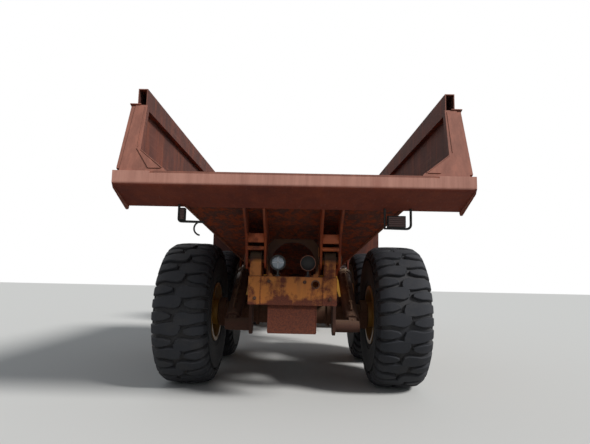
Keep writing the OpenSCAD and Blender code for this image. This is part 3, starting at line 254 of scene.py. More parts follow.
def rustedPlate(name, look):
    # Bare wear plate left outdoors: brown scale, brighter runs of rust, scours along its length
    material, tree = newMaterial(name)
    spot = addNode(tree, "TexCoord")
    place = spot.outputs["Object"]
    cloud = addNode(tree, "TexNoise", {"Vector": place, "Scale": 1000 / look["cloudMm"],
                                       "Detail": 8.0, "Roughness": 0.62})
    grit = addNode(tree, "TexNoise", {"Vector": place, "Scale": 1000 / look["gritMm"],
                                      "Detail": 5.0})
    downwards = addNode(tree, "Mapping", {"Vector": place, "Scale": look["runScale"]})
    run = addNode(tree, "TexNoise", {"Vector": downwards, "Scale": 1.0, "Detail": 7.0,
                                     "Roughness": 0.72})
    along = addNode(tree, "Mapping", {"Vector": place, "Scale": look["scourScale"]})
    scour = addNode(tree, "TexNoise", {"Vector": along, "Scale": 1.0, "Detail": 3.0})
    cloudy = addNode(tree, "MapRange", {"Value": cloud, "From Min": 0.34, "From Max": 0.66})
    base = addNode(tree, "Mix", {0: cloudy, 6: look["dark"], 7: look["mid"]}, data_type="RGBA")
    running = addNode(tree, "MapRange", {"Value": run, "From Min": 0.50, "From Max": 0.72,
                                         "To Max": look["runs"]})
    rusted = addNode(tree, "Mix", {0: running, 6: base, 7: look["bright"]}, data_type="RGBA")
    scored = addNode(tree, "MapRange", {"Value": scour, "From Min": 0.60, "From Max": 0.75,
                                        "To Max": look["scours"]})
    marked = addNode(tree, "Mix", {0: scored, 6: rusted, 7: look["pale"]}, data_type="RGBA")
    speckle = addNode(tree, "MapRange", {"Value": grit, "From Min": 0.35, "From Max": 0.65,
                                         "To Min": 0.80, "To Max": 1.15})
    mottled = addNode(tree, "VectorMath", {0: marked, "Scale": speckle}, operation="SCALE")
    up = addNode(tree, "SeparateXYZ", {0: spot.outputs["Normal"]})
    shelf = addNode(tree, "MapRange", {"Value": up.outputs["Z"], "From Min": 0.3,
                                       "From Max": 0.95, "To Max": look["dust"]})
    worn = addNode(tree, "Mix", {0: shelf, 6: mottled, 7: look["dustTone"]}, data_type="RGBA")
    # Painted sunlight: faces that look level or up are paler
    level = addNode(tree, "MapRange", {"Value": up.outputs["Z"], "From Min": -0.42,
                                       "From Max": -0.22, "To Max": look["litPaleness"]})
    # Painted sunlight: faces that look back at the very tail are paler
    where = addNode(tree, "SeparateXYZ", {0: place})
    rearward = addNode(tree, "MapRange", {"Value": up.outputs["Y"], "From Min": -0.35,
                                          "From Max": -0.75})
    tail = addNode(tree, "MapRange", {
        "Value": where.outputs["Y"], "From Min": look["tailFrom"], "From Max": look["tailFull"],
        "To Max": look["tailLitPaleness"]})
    litTail = addNode(tree, "Math", {0: rearward, 1: tail}, operation="MULTIPLY")
    pale = addNode(tree, "Math", {0: level, 1: litTail}, operation="MAXIMUM")
    patchy = addNode(tree, "MapRange", {"Value": run, "From Min": 0.30, "From Max": 0.62,
                                        "To Min": 0.55, "To Max": 1.0})
    uneven = addNode(tree, "Math", {0: pale, 1: patchy}, operation="MULTIPLY")
    litColour = addNode(tree, "Mix", {0: uneven, 6: worn, 7: look["litTone"]}, data_type="RGBA")
    # Painted reflected light: faces that look down turn orange in patches, as light reflected from
    # below colours them
    facingDown = addNode(tree, "MapRange", {"Value": up.outputs["Z"], "From Min": -0.25,
                                           "From Max": -0.60})
    reflectedPatch = addNode(tree, "TexNoise", {"Vector": place, "Scale": look["reflectedOrangeScale"], "Detail": 9.0,
                                      "Roughness": 0.75})
    reflectedPatches = addNode(tree, "MapRange", {"Value": reflectedPatch, "From Min": 0.47, "From Max": 0.58})
    reflectedFacing = addNode(tree, "Math", {0: facingDown, 1: reflectedPatches}, operation="MULTIPLY")
    share = addNode(tree, "Math", {0: reflectedFacing, 1: look["reflectedOrange"]}, operation="MULTIPLY")
    reflectedColour = addNode(tree, "Mix", {0: share, 6: litColour, 7: look["reflectedOrangeTone"]}, data_type="RGBA")
    bump = addNode(tree, "Bump", {"Height": grit, "Strength": 0.55,
                                  "Distance": look["bumpMm"] / 1000})
    shader = addNode(tree, "BsdfPrincipled", {"Base Color": reflectedColour, "Normal": bump,
                                              "Roughness": look["roughness"]})
    addNode(tree, "OutputMaterial", {"Surface": shader})
    return material


def dustyRubber(name, look):
    # Carbon-black tyre rubber, greyed by dust that sits in the grooves and on the shoulders
    material, tree = newMaterial(name)
    place = addNode(tree, "TexCoord").outputs["Object"]
    cloud = addNode(tree, "TexNoise", {"Vector": place, "Scale": 5.0, "Detail": 8.0,
                                       "Roughness": 0.7})
    grit = addNode(tree, "TexNoise", {"Vector": place, "Scale": 160.0, "Detail": 3.0})
    groove = addNode(tree, "Attribute", attribute_name="grooveDepth")
    packed = addNode(tree, "Math", {0: groove.outputs["Fac"], 1: 0.22, 2: cloud},
                     operation="MULTIPLY_ADD")
    dusty = addNode(tree, "MapRange", {"Value": packed, "From Min": 0.48, "From Max": 0.88,
                                       "To Max": look["dust"]})
    tone = addNode(tree, "Mix", {0: dusty, 6: look["rubber"], 7: look["dustTone"]},
                   data_type="RGBA")
    bump = addNode(tree, "Bump", {"Height": grit, "Strength": 0.4, "Distance": 0.002})
    shader = addNode(tree, "BsdfPrincipled", {"Base Color": tone, "Normal": bump,
                                              "Roughness": 0.78, "IOR": 1.52})
    addNode(tree, "OutputMaterial", {"Surface": shader})
    return material


def plainFinish(name, color, dustTone, grainMm, dust, roughness, metallic, bumpMm):
    # One even material with a fine grain, softened by patches of light dust
    material, tree = newMaterial(name)
    place = addNode(tree, "TexCoord").outputs["Object"]
    cloud = addNode(tree, "TexNoise", {"Vector": place, "Scale": 4.0, "Detail": 7.0,
                                       "Roughness": 0.65})
    grain = addNode(tree, "TexNoise", {"Vector": place, "Scale": 1000 / grainMm, "Detail": 3.0})
    dusty = addNode(tree, "MapRange", {"Value": cloud, "From Min": 0.40, "From Max": 0.70,
                                       "To Max": dust})
    tone = addNode(tree, "Mix", {0: dusty, 6: color, 7: dustTone}, data_type="RGBA")
    rough = addNode(tree, "MapRange", {"Value": dusty, "To Min": roughness,
                                       "To Max": min(1.0, roughness + 0.25)})
    bump = addNode(tree, "Bump", {"Height": grain, "Strength": 0.5, "Distance": bumpMm / 1000})
    shader = addNode(tree, "BsdfPrincipled", {"Base Color": tone, "Roughness": rough,
                                              "Normal": bump, "Metallic": metallic})
    addNode(tree, "OutputMaterial", {"Surface": shader})
    return material


def dustyGlass(name, look):
    # Tinted safety glass with a film of dust, thin enough to see the cab through
    material, tree = newMaterial(name)
    place = addNode(tree, "TexCoord").outputs["Object"]
    cloud = addNode(tree, "TexNoise", {"Vector": place, "Scale": 3.0, "Detail": 8.0,
                                       "Roughness": 0.7})
    film = addNode(tree, "MapRange", {"Value": cloud, "From Min": 0.4, "From Max": 0.7,
                                      "To Min": 0.06, "To Max": look["dust"]})
    clear = addNode(tree, "BsdfTransparent", {"Color": look["tint"]})
    sheen = addNode(tree, "BsdfGlossy", {"Color": "#ffffff", "Roughness": 0.04})
    graze = addNode(tree, "Fresnel", {"IOR": 1.5})
    pane = addNode(tree, "MixShader", {0: graze, 1: clear, 2: sheen})
    dust = addNode(tree, "BsdfDiffuse", {"Color": look["dustTone"]})
    both = addNode(tree, "MixShader", {0: film, 1: pane, 2: dust})
    addNode(tree, "OutputMaterial", {"Surface": both})
    return material


frameEnamel = {
    "paint": "#d4902f", "paintFaded": "#bd6f2c", "rust": "#84412a", "rustDark": "#4e2420",
    "patchMm": 210, "gritMm": 9, "edgeMm": 9, "bumpMm": 1.2, "fadeScale": 1.7,
    "streaks": 0.25, "streakScale": (14.0, 14.0, 1.1), "rustFrom": 0.60, "rustSoft": 0.12,
    "rustBelow": 1.00, "belowShare": 0.30,           # height in metres, and how much more rust
    "grime": 0.35, "mud": 0.25, "mudTop": 1.2, "grimeTone": "#5b3f2b",
    # Painted shade darkens the middle and the pin bosses; on this frame it is set out of reach
    "paintedShadeFrom": 9.0, "paintedShadeHalf": 0.270,              # metres up and across; 9 is out of reach
    "bossFrom": 0.285, "bossRise": 0.11, "paintedShadeTone": "#24150f",
    "dust": 0.55, "dustTone": "#a08a6c", "roughness": 0.5,
}
# Cab and bonnet panels: thinner steel, smoother and glossier, rusted only in small chips
panelEnamel = dict(
    frameEnamel, belowShare=0.0, paint="#dd9f2c", paintFaded="#c98f38", patchMm=300,
    rustFrom=0.755, rustSoft=0.06, streaks=0.3, dust=0.5, roughness=0.38, edgeMm=7, bumpMm=0.7,
    grime=0.5, mud=0.55, mudTop=1.35, grimeTone="#7b6238")
# Roof in off-white, chalky from the sun
roofEnamel = dict(panelEnamel, paint="#d8d2c2", paintFaded="#c7bfab", dust=0.6, mud=0.0,
                  grimeTone="#8a7f6a")
# The rear frame has faded redder, and is painted dark in its middle and on its pin bosses: painted
# shade
rearEnamel = dict(frameEnamel, paintedShadeFrom=1.26, paintFaded="#c2622b")
# Hinge brackets under the body keep a deeper orange
bracketEnamel = dict(frameEnamel, paint="#cf6a2a", paintFaded="#b5532a")
# Parts under the body are painted darker: painted shade under the body
underShadeEnamel = dict(frameEnamel, paint="#7a5228", paintFaded="#5f3d26", rust="#4e2b20",
                   rustDark="#35201c", rustFrom=0.50, rustSoft=0.16, dust=0.3)
# Cast iron is left unpainted: brown-black under dust, coarse from its sand mould
castIron = dict(frameEnamel, paint="#4d4038", paintFaded="#5e4a3c", rust="#6b4430",
                rustDark="#43291f", rustSoft=0.15, roughness=0.75, dust=0.7, bumpMm=2.0)
# Paler tones on level and rearward faces are painted sunlight, and orange on faces that look down
# is painted reflected light from below
wearPlate = {
    "dark": "#3c1f19", "mid": "#643529", "bright": "#8c4a31", "pale": "#b07c62",
    "cloudMm": 380, "gritMm": 7, "bumpMm": 1.4, "roughness": 0.82,
    "runs": 0.8, "runScale": (11.0, 11.0, 0.9), "scours": 0.25, "scourScale": (60.0, 1.4, 60.0),
    "dust": 0.25, "dustTone": "#8e6a55", "litPaleness": 0.0, "litTone": "#b97c69",
    "tailLitPaleness": 0.62, "tailFrom": -4.55, "tailFull": -4.75,    # metres along the truck
    "reflectedOrange": 0.85, "reflectedOrangeScale": 14.0, "reflectedOrangeTone": "#a5481f",
}
# The tail beam is paler on faces that look level or up: painted sunlight
beamPlate = dict(wearPlate, dark="#6e3024", mid="#914634", bright="#a9553a", pale="#c09382",
                 cloudMm=300, runs=0.6, scours=0.2, dust=0.35, litPaleness=0.95, tailLitPaleness=0.0,
                 litTone="#d29a88", reflectedOrange=0.15)
# Under the body the rust is painted more orange: painted reflected light from below
reflectedUnderPlate = dict(wearPlate, dark="#5a2618", mid="#96401f", bright="#c86428", runs=1.0)
# Round bars along the chute's edges are painted paler than the plates: a painted highlight for the
# light they catch
paleBar = dict(wearPlate, dark="#6a4030", mid="#946450", bright="#b0795a", pale="#c9a690",
               litPaleness=0.3, reflectedOrange=0.3)

finishes = {
    "rusty_body": rustedPlate("rustedWearPlate", wearPlate),
    "rusty_beam": rustedPlate("rustedBeamPlate", beamPlate),
    "under_rust_and_reflection": rustedPlate("undersideRustAndReflection", reflectedUnderPlate),
    "pale_rust": rustedPlate("paleEdgeBarRust", paleBar),
    "frame_paint": wornPaint("chippedFrameEnamel", frameEnamel),
    "rear_paint": wornPaint("chippedRearEnamel", rearEnamel),
    "bracket_paint": wornPaint("chippedBracketEnamel", bracketEnamel),
    "under_shade_paint": wornPaint("paintedShadeUnderEnamel", underShadeEnamel),
    "yellow_paint": wornPaint("fadedPanelEnamel", panelEnamel),
    "roof_paint": wornPaint("fadedRoofEnamel", roofEnamel),
    "cast_steel": wornPaint("dustyCastIron", castIron),
    "glass": dustyGlass("dustyCabGlass", {"tint": "#b9c9c4", "dust": 0.35, "dustTone": "#a89c8a"}),
    "tyre_rubber": dustyRubber("dustyTyreRubber", {
        "rubber": "#0e1119", "dust": 0.42, "dustTone": "#4d4a48"}),
}
# Columns: finish, material, colour, dust tone, grain mm, dust, roughness, metallic, bump mm
plainFinishes = (
    # Bright metal and silvered glass: sharp reflections, dulled by dust
    ("rod_chrome", "hardChromeRod", "#c9c8c6", "#8c8378", 3, 0.4, 0.16, 1.0, 0.1),
    ("lamp_metal", "spunAluminium", "#b9b8b4", "#8b8071", 4, 0.45, 0.3, 0.9, 0.2),
    ("mirror_glass", "dustyMirror", "#d9dcdd", "#8d8577", 8, 0.25, 0.05, 1.0, 0.05),
    ("lamp_lens", "silveredLampGlass", "#7d868f", "#5e5a55", 3, 0.4, 0.42, 0.6, 0.2),
    # Lamp parts: pale strips as a painted highlight, a near-black bowl, red lenses bleached by the
    # sun
    ("lamp_cross", "paintedCrossHighlight", "#dfe5ea", "#a9a498", 3, 0.2, 0.35, 0.0, 0.1),
    ("lamp_bowl", "emptyLampBowl", "#0e0d0d", "#2b241f", 5, 0.3, 0.7, 0.0, 0.3),
    ("lamp_red", "fadedRedLens", "#45170f", "#4b382e", 5, 0.5, 0.3, 0.0, 0.3),
    ("lamp_plastic", "fadedLensPlastic", "#5c2a20", "#7d5a48", 6, 0.6, 0.45, 0.0, 0.4),
    # Matt dark steel, vinyl and moulded plastic: soft, even light with a fine grain
    ("black_steel", "mattBlackSteel", "#1c1b1b", "#5c5248", 5, 0.5, 0.6, 0.0, 0.4),
    ("seat_cloth", "wornSeatVinyl", "#37322d", "#6b6055", 2, 0.45, 0.62, 0.0, 0.5),
    ("dash_plastic", "mouldedDashPlastic", "#2a2928", "#6a6055", 2, 0.45, 0.6, 0.0, 0.3),
)
for finishName, *row in plainFinishes:
    finishes[finishName] = plainFinish(*row)


def paint(piece, finishName):
    piece.data.materials.clear()
    piece.data.materials.append(finishes[finishName])


for row in frame["record"]["subparts"]:
    paint(nodes[row["node"]], row["material_slot"])
# Some nodes look different from others of their slot: painted reflected light on the body's
# underside, painted shade on the rear frame and on the parts under the body
paint(nodes["body_sills"], "under_rust_and_reflection")
paint(nodes["rear_frame"], "rear_paint")
for nodeName in ("hoist_feet", "hoist_barrels", "bogie_beams"):
    paint(nodes[nodeName], "under_shade_paint")
print("finishes ready:", len(finishes))


# Makers that the pieces share

def outwardMesh(name, vertices, faces):
    # A mesh from plain lists, its doubles merged and its faces turned outwards
    mesh = bpy.data.meshes.new(name)
    mesh.from_pydata(vertices, [], faces)
    shape = bmesh.new()
    shape.from_mesh(mesh)
    bmesh.ops.remove_doubles(shape, verts=shape.verts, dist=1e-5)
    bmesh.ops.recalc_face_normals(shape, faces=shape.faces)
    shape.to_mesh(mesh)
    shape.free()
    return mesh


def joinMeshes(name, meshes):
    shape = bmesh.new()
    for mesh in meshes:
        shape.from_mesh(mesh)
    joined = bpy.data.meshes.new(name)
    shape.to_mesh(joined)
    shape.free()
    return joined


def shadeByAngle(mesh, degrees):
    shape = bmesh.new()
    shape.from_mesh(mesh)
    for face in shape.faces:
        face.smooth = True
    for edge in shape.edges:
        shallow = edge.calc_face_angle(0.0) < math.radians(degrees)
        edge.smooth = len(edge.link_faces) == 2 and shallow
    shape.to_mesh(mesh)
    shape.free()
    return mesh


def placeMesh(mesh, matrix):
    placed = mesh.copy()
    placed.transform(matrix)
    if matrix.determinant() < 0:
        placed.flip_normals()
    return placed


def facing(direction, place):
    # Turns a mesh made towards +X so that it looks along direction from place
    return shifted(*place) @ Vector(direction).to_track_quat("X", "Z").to_matrix().to_4x4()


def bothSides(mesh):
    return joinMeshes("pair", [mesh, placeMesh(mesh, Matrix.Diagonal((-1, 1, 1, 1)))])


def addPiece(name, shape, slotName, bodyName, replaced=(), smoothBelow=32, finish=None,
             mirrored=False):
    # Shape is a mesh or a list of them; a mirrored piece stands on both sides of the truck
    mesh = joinMeshes(name, shape) if isinstance(shape, list) else shape
    if mirrored:
        mesh = bothSides(mesh)
    piece = bpy.data.objects.new(name, shadeByAngle(mesh, smoothBelow))
    scene.collection.objects.link(piece)
    paint(piece, finish or slotName)
    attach(piece, bodyName)
    if replaced:
        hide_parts(*replaced)
    return piece


def latheMesh(profile, segments):
    # A closed outline of (x, radius) turned once round the X axis
    vertices = []
    for k in range(segments):
        turn = 2 * math.pi * k / segments
        vertices += [(x, r * math.sin(turn), r * math.cos(turn)) for x, r in profile]
    count = len(profile)
    faces = []
    for k in range(segments):
        here, there = k * count, (k + 1) % segments * count
        for i in range(count):
            j = (i + 1) % count
            faces.append((here + i, here + j, there + j, there + i))
    return outwardMesh("lathe", vertices, faces)


def loftMesh(rings):
    # Closed rings of like count joined one to the next, with a cap at each end
    count = len(rings[0])
    vertices = [point for ring in rings for point in ring]
    faces = [tuple(range(count)), tuple(range(len(vertices) - count, len(vertices)))]
    for k in range(len(rings) - 1):
        for i in range(count):
            j = (i + 1) % count
            faces.append((k * count + i, k * count + j, (k + 1) * count + j, (k + 1) * count + i))
    return outwardMesh("loft", vertices, faces)


def blockMesh(low, high, rounding=0.004):
    shape = bmesh.new()
    bmesh.ops.create_cube(shape, size=1.0)
    for vertex in shape.verts:
        vertex.co = [(a + b) / 2 + (b - a) * c for a, b, c in zip(low, high, vertex.co)]
    bmesh.ops.bevel(shape, geom=shape.edges[:], offset=rounding, segments=2, profile=0.5,
                    affect="EDGES")
    mesh = bpy.data.meshes.new("block")
    shape.to_mesh(mesh)
    shape.free()
    return mesh


def tubeMesh(points, radius, sides=12, ripple=0.0):
    # A round bar along a path; ripple swells every other ring, as a weld bead's scales do
    points = [Vector(p) for p in points]
    rings = []
    side = None
    for k, point in enumerate(points):
        ahead = (points[min(k + 1, len(points) - 1)] - points[max(k - 1, 0)]).normalized()
        if side is None:
            side = ahead.orthogonal().normalized()
        side = (side - ahead * side.dot(ahead)).normalized()
        other = ahead.cross(side)
        reach = radius * (1 + (ripple if k % 2 else -ripple))
        rings.append([tuple(point + reach * (side * math.cos(a) + other * math.sin(a)))
                      for a in (2 * math.pi * i / sides for i in range(sides))])
    return loftMesh(rings)


def arcPoints(middle, radius, first, last, count):
    # Points of an arc seen from behind, its angles in degrees from the right towards the top
    middle = Vector(middle)
    turns = [math.radians(first + (last - first) * k / (count - 1)) for k in range(count)]
    return [middle + radius * Vector((math.cos(t), 0, math.sin(t))) for t in turns]


def weldMesh(start, end, radius=0.006, scale=0.009):
    start, end = Vector(start), Vector(end)
    count = max(3, int((end - start).length / scale))
    return tubeMesh([start.lerp(end, k / count) for k in range(count + 1)], radius, 6, 0.16)


def buildCopiesTree():
    # Copies of the piece's own mesh, each turned and shifted on from the one before
    tree = bpy.data.node_groups.new("evenCopies", "GeometryNodeTree")
    for label, kind in (("Unit", "Geometry"), ("Count", "Int"), ("Turn", "Vector"),
                        ("Step", "Vector"), ("Finish", "Material")):
        tree.interface.new_socket(label, in_out="INPUT", socket_type="NodeSocket" + kind)
    tree.interface.new_socket("Copies", in_out="OUTPUT", socket_type="NodeSocketGeometry")
    given = addNode(tree, "NodeGroupInput").outputs
    line = addNode(tree, "GeometryNodeMeshLine", {"Count": given["Count"], "Offset": given["Step"]},
                   mode="OFFSET")
    index = addNode(tree, "GeometryNodeInputIndex")
    turn = addNode(tree, "VectorMath", {0: given["Turn"], "Scale": index}, operation="SCALE")
    copies = addNode(tree, "GeometryNodeInstanceOnPoints", {
        "Points": line, "Instance": given["Unit"], "Rotation": turn})
    real = addNode(tree, "GeometryNodeRealizeInstances", {0: copies})
    finished = addNode(tree, "GeometryNodeSetMaterial", {
        "Geometry": real, "Material": given["Finish"]})
    addNode(tree, "NodeGroupOutput", {0: finished})
    return tree


copiesTree = buildCopiesTree()


def evaluatedMesh(piece):
    return bpy.data.meshes.new_from_object(
        piece.evaluated_get(bpy.context.evaluated_depsgraph_get()))


def copyMesh(mesh, count, slotName, turn=(0, 0, 0), step=(0, 0, 0)):
    # Runs the tree above on a mesh and gives back the plain result
    unit = bpy.data.objects.new("copyUnit", mesh)
    scene.collection.objects.link(unit)
    repeat = unit.modifiers.new("copies", "NODES")
    repeat.node_group = copiesTree
    values = {"Count": count, "Turn": turn, "Step": step, "Finish": finishes[slotName]}
    for item in copiesTree.interface.items_tree:
        if item.name in values:
            repeat[item.identifier] = values[item.name]
    bpy.context.view_layer.update()
    result = evaluatedMesh(unit)
    bpy.data.objects.remove(unit)
    return result


def ringOf(mesh, count, slotName="cast_steel"):
    # Even copies round the X axis
    return copyMesh(mesh, count, slotName, turn=(2 * math.pi / count, 0, 0))


def boltMesh(radius):
    # A hexagon head with a chamfered top, on its washer, looking towards +X
    washer = latheMesh([(0, 0), (0, radius * 1.35), (radius * 0.16, radius * 1.35),
                        (radius * 0.2, radius * 1.2), (radius * 0.2, 0)], 16)
    height = radius * 0.75
    head = loftMesh([[(x, r * math.cos(math.pi * i / 3), r * math.sin(math.pi * i / 3))
                      for i in range(6)]
                     for x, r in ((0.0, radius), (height, radius),
                                  (height + radius * 0.16, radius * 0.8))])
    return joinMeshes("bolt", [washer, head])


def boltsAt(radius, direction, places):
    bolt = boltMesh(radius)
    return joinMeshes("bolts", [placeMesh(bolt, facing(direction, p)) for p in places])


# Every wheel's name, the middle of its tyre, and the place of a mesh made for the right side
wheels = []
for axleName in ("front", "mid", "rear"):
    for sideName in ("left", "right"):
        low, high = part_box(f"tyre_{axleName}_{sideName}")
        centre = (Vector(low) + Vector(high)) / 2
        place = shifted(*centre) @ turned(180 if sideName == "left" else 0, "Z")
        wheels.append((f"{axleName}_{sideName}", centre, place))


# Tyres

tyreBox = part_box("tyre_rear_left")
tyreForm = {
    "radius": (tyreBox[1][2] - tyreBox[0][2]) / 2,
    "lugDepth": 0.036,
    "lugRoot": 0.004,        # how far a lug goes into the carcass
    "pitches": 18,
    "rounding": 0.007,       # worn edge of a lug
    "draft": 0.007,          # how far a lug's foot spreads
    "segments": 108,
    "shoulder": 0.29,        # from here out the sidewall has an even coat of dust
}
# Columns: distance from the tyre's middle, and drop below its radius
treadArc = [(0.0, 0.0), (0.10, 0.001), (0.17, 0.005), (0.225, 0.016), (0.262, 0.038),
            (0.283, 0.072), (0.293, 0.115), (0.297, 0.160)]
# Columns: distance from the tyre's middle, and radius, from below the tread down to the bead
sidewallArc = [(0.297, 0.640), (0.2995, 0.600), (0.2995, 0.560), (0.292, 0.490), (0.280, 0.425),
               (0.277, 0.400), (0.270, 0.392), (0.266, 0.366), (0.2575, 0.348), (0.2555, 0.319)]
# Columns: distance across the tread from its middle, and both edges as shares of a pitch
longLug = [(-0.038, -0.20, -0.03), (-0.015, -0.27, 0.12), (0.03, -0.31, 0.19), (0.09, -0.30, 0.18),
           (0.16, -0.25, 0.135), (0.22, -0.19, 0.16), (0.28, -0.175, 0.175), (0.33, -0.17, 0.17),
           (0.375, -0.165, 0.165)]
shortLug = [(0.066, 0.41, 0.53), (0.10, 0.36, 0.585), (0.16, 0.31, 0.645), (0.22, 0.325, 0.66),
            (0.28, 0.33, 0.67), (0.33, 0.335, 0.665), (0.375, 0.34, 0.66)]


def treadPoint(across, depth):
    # A place on the tread by its distance along the crown and over the shoulder
    left = abs(across)
    for (x0, d0), (x1, d1) in zip(treadArc, treadArc[1:]):
        run = math.hypot(x1 - x0, d1 - d0)
        if left <= run or (x1, d1) == treadArc[-1]:
            share = left / run
            tilt = math.atan2(d1 - d0, x1 - x0)
            x = x0 + (x1 - x0) * share - depth * math.sin(tilt)
            r = tyreForm["radius"] - d0 - (d1 - d0) * share - depth * math.cos(tilt)
            return math.copysign(x, across), r
        left -= run


def onTread(across, along, depth):
    x, r = treadPoint(across, depth)
    turn = along / tyreForm["radius"]
    return (x, r * math.sin(turn), r * math.cos(turn))


def lugMesh(stations, form):
    pitch = 2 * math.pi * form["radius"] / form["pitches"]
    edge, draft = form["rounding"], form["draft"]
    foot = form["lugDepth"] + form["lugRoot"]
    rows = [(s, low * pitch, high * pitch, 0.0) for s, low, high in stations]
    # The ends are rounded by a lower ring just outside the full ones
    (s0, low0, high0, _), (s1, low1, high1, _) = rows[0], rows[-1]
    rows = ([(s0, low0, high0, edge), (s0 + edge, low0, high0, 0.0)] + rows[1:-1]
            + [(s1 - edge, low1, high1, 0.0), (s1, low1, high1, edge)])
    return loftMesh([[
        onTread(s, low - draft, foot), onTread(s, low, drop + edge), onTread(s, low + edge, drop),
        onTread(s, (low + high) / 2, drop), onTread(s, high - edge, drop),
        onTread(s, high, drop + edge), onTread(s, high + draft, foot)]
        for s, low, high, drop in rows])


def buildTyre(form):
    # One pitch of lugs, both halves of the tread, the left one half a pitch on
    pitchTurn = 360 / form["pitches"]
    rightHalf = joinMeshes("lugs", [lugMesh(longLug, form), lugMesh(shortLug, form)])
    leftHalf = placeMesh(rightHalf, turned(-pitchTurn / 2, "X") @ Matrix.Diagonal((-1, -1, 1, 1)))
    pitch = joinMeshes("treadPitch", [rightHalf, leftHalf])
    tread = ringOf(pitch, form["pitches"], "tyre_rubber")
    across = sum(math.hypot(b[0] - a[0], b[1] - a[1]) for a, b in zip(treadArc, treadArc[1:]))
    half = [treadPoint(across * k / 10, form["lugDepth"]) for k in range(11)] + sidewallArc
    outline = half[::-1] + [(-x, r) for x, r in half[1:]]
    return joinMeshes("tyre", [latheMesh(outline, form["segments"]), tread])


def tagGrooves(mesh, centre, form):
    # How deep each point lies under the tread's surface, for the dust that settles there
    groove = mesh.attributes.new("grooveDepth", "FLOAT", "POINT")
    for i, vertex in enumerate(mesh.vertices):
        offset = vertex.co - centre
        drop = 0.0
        for (x0, d0), (x1, d1) in zip(treadArc, treadArc[1:]):
            if x0 <= abs(offset.x) <= x1:
                drop = d0 + (d1 - d0) * (abs(offset.x) - x0) / (x1 - x0)
        depth = form["radius"] - drop - math.hypot(offset.y, offset.z)
        onCrown = abs(offset.x) < form["shoulder"]
        groove.data[i].value = min(1.0, max(0.0, depth / form["lugDepth"])) if onCrown else 0.5


tyreMesh = buildTyre(tyreForm)
for wheelName, centre, place in wheels:
    mesh = placeMesh(tyreMesh, place)
    tagGrooves(mesh, centre, tyreForm)
    addPiece(f"lugTyre_{wheelName}", mesh, "tyre_rubber", f"wheel_{wheelName}",
             [f"tyre_{wheelName}"])
print("tyres ready:", len(tyreMesh.polygons), "faces each")


# Wheel nuts and hub bolts

# Columns: bolt radius, how many, where they stand along the axle, their circle, turn in degrees
rimBolts = [
    (0.017, 8, 0.084, 0.226, -9.0), (0.017, 8, 0.084, 0.226, 9.0),    # nuts in pairs on the disc
    (0.009, 6, 0.229, 0.060, 0.0),     # hub cap
    (0.009, 16, 0.149, 0.168, 0.0),    # planet cover
]


def buildFasteners(rows):
    return joinMeshes("fasteners", [
        ringOf(placeMesh(boltMesh(radius), turned(turn, "X") @ shifted(face, 0, circle)), count)
        for radius, count, face, circle, turn in rows])


wheelFasteners = buildFasteners(rimBolts)
for wheelName, centre, place in wheels:
    addPiece(f"wheelNuts_{wheelName}", placeMesh(wheelFasteners, place), "cast_steel",
             f"wheel_{wheelName}")
print("wheel nuts ready")


# Reversing lamps: the left one keeps its reflector, the right one is an empty shell

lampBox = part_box("reversing_lamps")
lampForm = {
    "radius": 0.076, "depth": 0.048, "x": 0.145, "y": lampBox[0][1] + 0.003, "z": 1.372,
    "reflectorDepth": 0.022, "emptyDepth": 0.040, "flutes": 40, "flute": 0.0012,
    "stalk": 0.011, "stalkY": -4.36, "foot": lampBox[0][2], "footHalf": 0.022,
}
# Columns: height above the lamp's front, and share of the glass's radius
lampDome = ((-0.010, 1.0), (-0.006, 0.97), (0.001, 0.8), (0.006, 0.45), (0.008, 0.06))


def lampShell(r, depth, bowl):
    return latheMesh([
        (-depth, 0), (-depth, r * 0.5), (-depth * 0.8, r * 0.78), (-depth * 0.3, r * 0.95),
        (-0.006, r), (0.0, r), (0.003, r * 0.98), (0.003, r * 0.90), (-0.004, r * 0.87),
        (-bowl * 0.45, r * 0.74), (-bowl * 0.8, r * 0.5), (-bowl, 0)], 48)


def lensMesh(radius, dome, sides, flute=0.0):
    # A domed glass; a flute lifts every other side
    return loftMesh([[(x + (flute if i % 2 else 0.0) * share,
                       radius * share * math.cos(2 * math.pi * i / sides),
                       radius * share * math.sin(2 * math.pi * i / sides)) for i in range(sides)]
                     for x, share in dome])


def lampStalk(form, x):
    y, half, foot = form["stalkY"], form["footHalf"], form["foot"]
    return joinMeshes("stalk", [
        tubeMesh([(x, y, foot + 0.002), (x, y, form["z"] - 0.070)], form["stalk"], 14),
        blockMesh((x - half, y - half, foot), (x + half, y + half, foot + 0.010), 0.002)])


